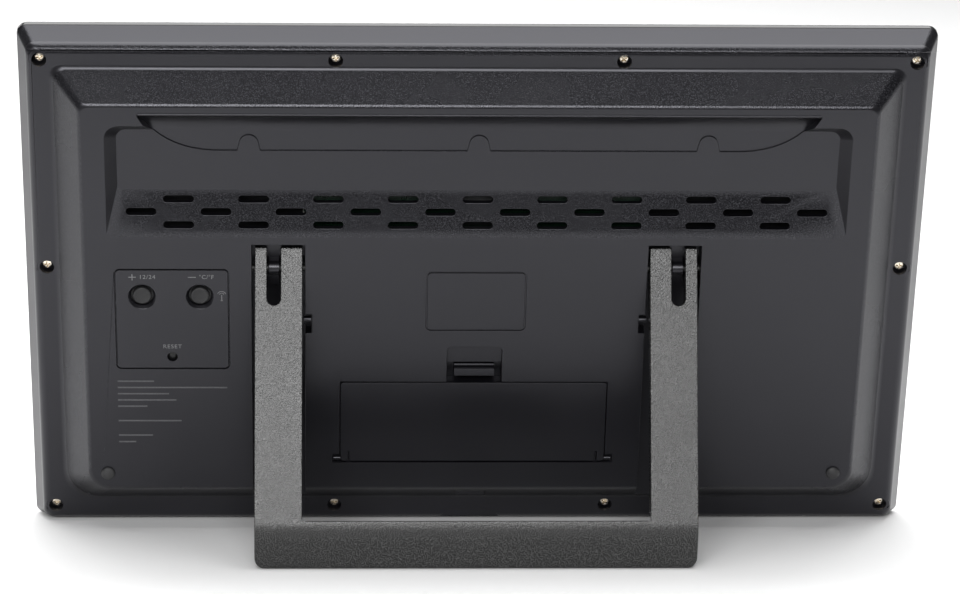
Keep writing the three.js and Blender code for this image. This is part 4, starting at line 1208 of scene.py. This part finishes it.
lit_bars, faint_bars = [], []
for text, *place in NUMBERS:
    on, off = number(text, *place)
    lit_bars += on
    faint_bars += off
lit_bars.append(panel_line(-152, 152, -22, -21.2))
lit_bars.append(panel_line(-26, -25.2, -84, -29.2))
lit_bars.append(square(104, -46, 4))
segments_on = flat_pattern("lcd_segments_dark", lit_bars, LCD_FACE - 0.06, 0.06, segment_dark)
segments_off = flat_pattern("lcd_segments_faint", faint_bars, LCD_FACE - 0.05, 0.05, segment_faint)
keep(segments_on, "case", "display_glass")
keep(segments_off, "case", "display_glass")

# %% [markdown]
# ## Screws
#
# Ten equal screws hold the case. One is modelled with its cross recess, and a Geometry Nodes tree puts a
# copy on each point and spins it by a random angle, because no two screws of a case end up lined up.

# %% One screw
SCREW = {"head": 2.05, "height": 1.54, "shank": 1.02, "length": 7.9}
CROSS = {"half_width": 0.36, "reach": 1.45, "depth": 1.2}


def screw_solid():
    """A low round head with a cross recess, on a plain shank with a blunt point."""
    head, height = SCREW["head"], SCREW["height"]
    dome = [(head * math.sin(t), -height * 0.28 * (1 - math.cos(t))) for t in quarter(8)][1:]
    profile = [
        (head * 0.08, 0), *dome, (head, -height), (SCREW["shank"], -height),
        (SCREW["shank"], -height - SCREW["length"]), (0.2, -height - SCREW["length"] - 0.8),
    ]
    body = turned("screw", profile, 0, 0, 36)
    wing, reach = CROSS["half_width"], CROSS["reach"]
    cross = []
    for wide, tall in ((reach, wing), (wing, reach)):
        top = [(-wide, 0.3, -tall), (wide, 0.3, -tall), (wide, 0.3, tall), (-wide, 0.3, tall)]
        low = [(x * 0.62, -CROSS["depth"], z * 0.62) for x, _, z in top]
        cross.append(skin("wing", [low, top]))
    return soften(clean(cut(body, cross), 0.002), 0.05, 2)


# %% A tree that puts one solid on every point
def scatter_tree():
    tree, given = copying_tree("screws_on_points", {
        "Points": "Geometry", "Solid": "Object", "Seed": "Int", "Material": "Material",
    })
    nodes, links = tree.nodes, tree.links
    spin = nodes.new("FunctionNodeRandomValue")
    spin.data_type = "FLOAT"
    spin.inputs[3].default_value = math.pi / 2
    angle = nodes.new("ShaderNodeCombineXYZ")
    copies = copy_to_points(tree, given, given.outputs["Points"])
    links.new(given.outputs["Seed"], spin.inputs["Seed"])
    links.new(spin.outputs[1], angle.inputs["Y"])
    links.new(angle.outputs[0], copies.inputs["Rotation"])
    return tree


def on_points(name, points, solid, material, seed):
    """Copies of one solid on a list of points, each with its own spin."""
    mesh = bpy.data.meshes.new(name)
    mesh.from_pydata([tuple(p) for p in points], [], [])
    piece = link(name, mesh)
    nodes = piece.modifiers.new("copies", "NODES")
    nodes.node_group = scatter_tree()
    set_input(nodes, "Solid", solid)
    set_input(nodes, "Seed", seed)
    set_input(nodes, "Material", material)
    return baked(piece)


one_screw = screw_solid()
screw_tops = [(s.x, extent("case_screw_1")[1].y, s.z) for s in screws]
case_screws = settle(on_points("case_screws", screw_tops, one_screw, screw_metal, 7), CASE)
remove(one_screw)
keep(case_screws, "case", "screw_steel", *[f"case_screw_{i + 1}" for i in range(10)])

# %% [markdown]
# ## Battery door
#
# A flat lid of one moulding. Two short slits free the ears that carry its hinge pegs, and a U-shaped spring
# at its top edge is the latch, with a ribbed tab for the fingertip.

# %% Door
def battery_door():
    outline = rounded(-DOOR["x"], DOOR["x"], DOOR["bottom"], DOOR["top"], 1.2)
    lid = prism(outline, DOOR_SEAT + GAP, PLATEAU, "battery_lid")
    slits = []
    for side in SIDES:
        x0, x1 = pair(side * 51.2, side * 52)
        slits.append(block(x0, x1, DOOR_SEAT - 1, PLATEAU + 1, DOOR["bottom"] - 1, -69.5))
    lid = cut(lid, slits)
    peg = cut(axle(-57.9, 57.9, DOOR["axis_y"], DOOR["axis_z"], 0.9),
              [block(1 - DOOR["x"], DOOR["x"] - 1, 0, 20, -80, -60)])
    top = DOOR["top"]
    latch = beam([
        (top - 1.2, PLATEAU - 1), (top - 1.2, 4.7), (-29.6, 4.7), (-29.6, 8.4), (-28.9, 8.7), (-28.9, 9),
        (-29.6, 9.6), (-29.6, 12.3), (-33, 12.3), (-33, 11.3), (-30.8, 11.1), (-30.8, 5.9), (top, 5.9),
        (top, PLATEAU - 1),
    ], -8.3, 8.3)
    ribs = [block(x - 0.6, x + 0.6, DOOR_SEAT - 0.2, DOOR_SEAT + 1, -70, -41) for x in (-36, -12, 12, 36)]
    return soften(clean(join(lid, [peg, latch, *ribs])), 0.2)


door = paint(settle(battery_door(), CASE), satin)
keep(door, "door", "case_black", "battery_door")

# %% [markdown]
# ### Cells behind the door
#
# Each AA cell is a turned can in a printed sleeve: bare metal at both ends, a coloured band at the plus
# end.

# %% Cells
CELL = {"band": 13.0, "shoulder": 1.7}


def points_up_x(node):
    """True where the cell's small plus end is the one at the greater x."""
    low, high = extent(node)
    centre = (low + high) / 2
    back = CASE.inverted()
    points = [back @ v.co for v in frame["nodes"][node].data.vertices]
    reach = [abs(p.z - centre.z) for p in points if p.x > high.x - 0.3]
    return max(reach) < (high.z - low.z) / 4


def aa_cell(node):
    """One can, from its flat minus end to its plus tip, with its finish by the place along it."""
    low, high = extent(node)
    centre = (low + high) / 2
    radius = (high.z - low.z) / 2
    length = high.x - low.x
    shoulder = length - CELL["shoulder"]
    lip = [(0.6 * (1 - math.sin(t)), radius - 0.7 * (1 - math.cos(t))) for t in quarter(4)][::-1]
    profile = [(0.35, 4.6), (0.05, 4.9), (0.05, radius - 1.2), *lip, (length - CELL["band"], radius)]
    profile += [(shoulder - 0.2 - d, r) for d, r in lip[::-1]]
    profile += [(shoulder, radius - 1.4), (shoulder, 3.0), (shoulder + 0.2, 2.75)]
    profile += [(length - 0.3, 2.7), (length, 2.3)]
    start, sign = (low.x, 1) if points_up_x(node) else (high.x, -1)
    rings = [[(start + sign * d, y, z) for y, z in circle(centre.y, centre.z, r, 48)] for d, r in profile]
    piece = skin(f"{node}_can", rings)
    for material in (nickel, cell_sleeve, cell_band):
        piece.data.materials.append(material)
    for face in piece.data.polygons:
        down = abs(face.center.x - start)
        if 0.06 < down < shoulder - 0.01 and len(face.vertices) == 4:
            face.material_index = 2 if down > length - CELL["band"] else 1
    return shade(piece)


for i in range(4):
    node = f"battery_cell_{i + 1}"
    keep(settle(aa_cell(node), CASE), "case", "cell_can", node)

# %% [markdown]
# ## Buttons and bumpers
#
# The caps are soft rubber. Each is a turned profile: a shallow dish on the two large keys so that a
# fingertip finds the middle, a plain dome on the bumpers.

# %% Turned rubber parts
def key_cap(name, centre):
    """A round cap with a dish in its crown, a collar behind the cover and a stem to the switch."""
    low, high = extent(name)
    top = high.y
    radius = 3.8
    crown = [(radius - 0.7 + 0.7 * math.cos(t), top - 0.7 + 0.7 * math.sin(t)) for t in quarter(6)]
    dish = [(r, top - 0.28 * (1 - (r / 2.9) ** 2)) for r in (2.9, 2.3, 1.6, 0.9, 0.3)]
    profile = [
        (0.3, low.y), (1.6, low.y), (1.6, low.y + 0.5), (5.3, low.y + 0.5), (5.3, low.y + 1.4),
        (radius, low.y + 1.4), *crown, *dish,
    ]
    return shade(turned(f"{name}_cap", profile, centre.x, centre.z, 56))


def reset_cap(centre):
    low, high = extent("reset_button")
    crown = [(0.9 + 0.8 * math.cos(t), high.y - 0.4 + 0.4 * math.sin(t)) for t in quarter(5)]
    profile = [(0.3, low.y), (2.9, low.y), (2.9, 9.6), (1.7, 9.6), *crown, (0.2, high.y)]
    return shade(turned("reset_button_cap", profile, centre.x, centre.z, 36))


def bumper_dome(node):
    low, high = extent(node)
    centre = middle(node)
    foot = PLATEAU + GAP
    dome = [(2.95 * math.cos(t), foot + (high.y - foot) * math.sin(t)) for t in quarter(9)[:-1]]
    profile = [(0.3, low.y), (1.5, low.y), (1.5, foot), *dome, (0.12, high.y)]
    return shade(turned(f"{node}_dome", profile, centre.x, centre.z, 40))


for node, body, centre in (("plus_button", "plus_key", keys[0]), ("minus_button", "minus_key", keys[1])):
    cap = paint(settle(key_cap(node, centre), CASE), rubber)
    keep(cap, body, "black_rubber", node)
cap = paint(settle(reset_cap(reset), CASE), rubber)
keep(cap, "reset_key", "black_rubber", "reset_button")
for node in ("wall_bumper_left", "wall_bumper_right"):
    dome = paint(settle(bumper_dome(node), CASE), rubber)
    keep(dome, "case", "black_rubber", node)

# %% [markdown]
# ## Print on the back
#
# The legends are pale ink, a few hundredths of a millimetre thick. They are made from text that is turned
# into a mesh, so they stay sharp. Where a maker would print an address block there are only plain grey
# bars.

# %% Legends
BACK_TEXT = Matrix(((-1, 0, 0, 0), (0, 0, 1, 0), (0, 1, 0, 0), (0, 0, 0, 1)))
INK = 0.03
INK_LOW = PLATEAU + 0.02
TEXT_HEIGHT = 2.6


def text_mesh(text, x, z, spacing=1.15):
    """Text as a flat mesh on the back, centred on x and z, in the case's millimetres."""
    curve = bpy.data.curves.new("legend", "FONT")
    curve.body = text
    curve.size = TEXT_HEIGHT
    curve.align_x = "CENTER"
    curve.align_y = "CENTER"
    curve.space_character = spacing
    curve.extrude = INK / 2
    curve.resolution_u = 4
    holder = bpy.data.objects.new("legend", curve)
    bpy.context.scene.collection.objects.link(holder)
    bpy.context.view_layer.update()
    evaluated = holder.evaluated_get(bpy.context.evaluated_depsgraph_get())
    mesh = bpy.data.meshes.new_from_object(evaluated)
    bpy.data.objects.remove(holder)
    bpy.data.curves.remove(curve)
    mesh.transform(Matrix.Translation((x, INK_LOW + INK / 2, z)) @ BACK_TEXT)
    return mesh


def printed(outline):
    """The mesh of one printed patch, with its helper object gone."""
    piece = prism(outline, INK_LOW, INK_LOW + INK)
    mesh = piece.data
    bpy.data.objects.remove(piece)
    return mesh


def bar(x0, x1, z0, z1):
    return printed([(x0, z0), (x1, z0), (x1, z1), (x0, z1)])


def wave(x, z, radius):
    """A thin arc over a mast's head."""
    strip = 0.24
    outer = arc(x, z, radius + strip, 0.2, 1.8, 10)
    inner = arc(x, z, radius, 1.8, 0.2, 10)
    return printed(outer + inner)


def merged(name, meshes, material):
    """One piece out of many small meshes."""
    shape = bmesh.new()
    for mesh in meshes:
        shape.from_mesh(mesh)
        bpy.data.meshes.remove(mesh)
    return paint(settle(from_bmesh(name, shape), CASE), material)


plus, minus = keys
SIGN_Z = 13.7
MAST = {"x": 103.4, "foot": 2.6, "head": 5.4}
legends = [
    text_mesh("12/24", plus.x - 2.2, SIGN_Z),
    text_mesh("°C/°F", minus.x - 2.7, SIGN_Z, 1.05),
    text_mesh("RESET", reset.x, -18.9),
    bar(plus.x + 2.3, plus.x + 5.4, 13.5, 13.85),
    bar(plus.x + 3.7, plus.x + 4.05, 12.2, 15.1),
    bar(minus.x + 1.6, minus.x + 4.8, 13.5, 13.85),
    bar(MAST["x"] - 0.16, MAST["x"] + 0.16, MAST["foot"], MAST["head"]),
    bar(MAST["x"] - 0.4, MAST["x"] + 0.4, MAST["foot"], MAST["foot"] + 0.5),
    wave(MAST["x"], MAST["head"], 0.8),
    wave(MAST["x"], MAST["head"], 1.6),
]
keep(merged("printed_legends", legends, legend_ink), "case", "inner_white")

# %% Address block
BLOCK_EDGE = 146.6
ROW_HEIGHT = 0.7
# Height on the back and length of each row.
ADDRESS_ROWS = (
    (-35.4, 15), (-38.4, 45), (-41.4, 21), (-44.4, 24), (-47.4, 12), (-54.4, 26), (-61.4, 14), (-64.6, 7),
)
address = [
    bar(BLOCK_EDGE - length, BLOCK_EDGE, z - ROW_HEIGHT / 2, z + ROW_HEIGHT / 2) for z, length in ADDRESS_ROWS
]
keep(merged("printed_bars", address, faint_ink), "case", "inner_white")

# %% [markdown]
# ## Finishes of the carried-over parts
#
# The boards, switches and wires inside keep their design shapes and only take a finish; the board's colours
# are made near black as painted shade. The back of the display glass is painted dark too, as painted shade for
# the inside of the case.

# %% Carried-over parts
PLAIN = {
    "inner_white": white_plastic, "black_rubber": rubber, "board_green": board_green, "chip_black": chip,
    "screw_steel": screw_metal, "nickel": nickel, "brass": brass, "copper": copper, "ferrite": ferrite,
    "red_wire": red_cover, "black_wire": black_cover, "gloss_black": gloss, "case_black": satin,
    "stand_black": leg_spark, "clear_window": window_clear, "display_glass": display_field,
    "cell_can": nickel,
}
for part in frame["record"]["subparts"]:
    paint(frame["nodes"][part["node"]], PLAIN[part["material_slot"]])
for side in ("left", "right"):
    paint(frame["nodes"][f"hinge_pin_{side}"], dark_steel)
# Painted shade: the back faces of the display glass take the near-black chip finish, standing in for the shade
# inside the case.
glass = frame["nodes"]["lcd_glass"].data
glass.materials.append(chip)
for face in glass.polygons:
    if face.normal.dot(outward) > 0.5:
        face.material_index = 1

# %% [markdown]
# ## Floor and finish
#
# The floor is one large pale sheet. It ends a third of a metre behind the clock, because the slope with the
# vents would mirror a longer floor and lose its dark tone.

# %% Floor
ground = bmesh.new()
FLOOR = {"x": 5.0, "back": -7.0, "near": 0.32}
corners = [(side * FLOOR["x"], y) for side, y in (
    (-1, FLOOR["back"]), (1, FLOOR["back"]), (1, FLOOR["near"]), (-1, FLOOR["near"]))]
ground.faces.new([ground.verts.new((x, y, 0)) for x, y in corners])
floor = from_bmesh("studio_floor", ground)
floor_paint, floor_shader, floor_place = new_finish("pale_floor")
cloudy = noise(floor_paint, floor_place, 400)
tint = blend_colours(floor_paint, cloudy, (0.90, 0.90, 0.90), (0.92, 0.92, 0.92))
floor_paint.node_tree.links.new(tint, floor_shader.inputs["Base Color"])
floor_shader.inputs["Roughness"].default_value = 0.6
paint(floor, floor_paint)
floor.location.z = -0.0002
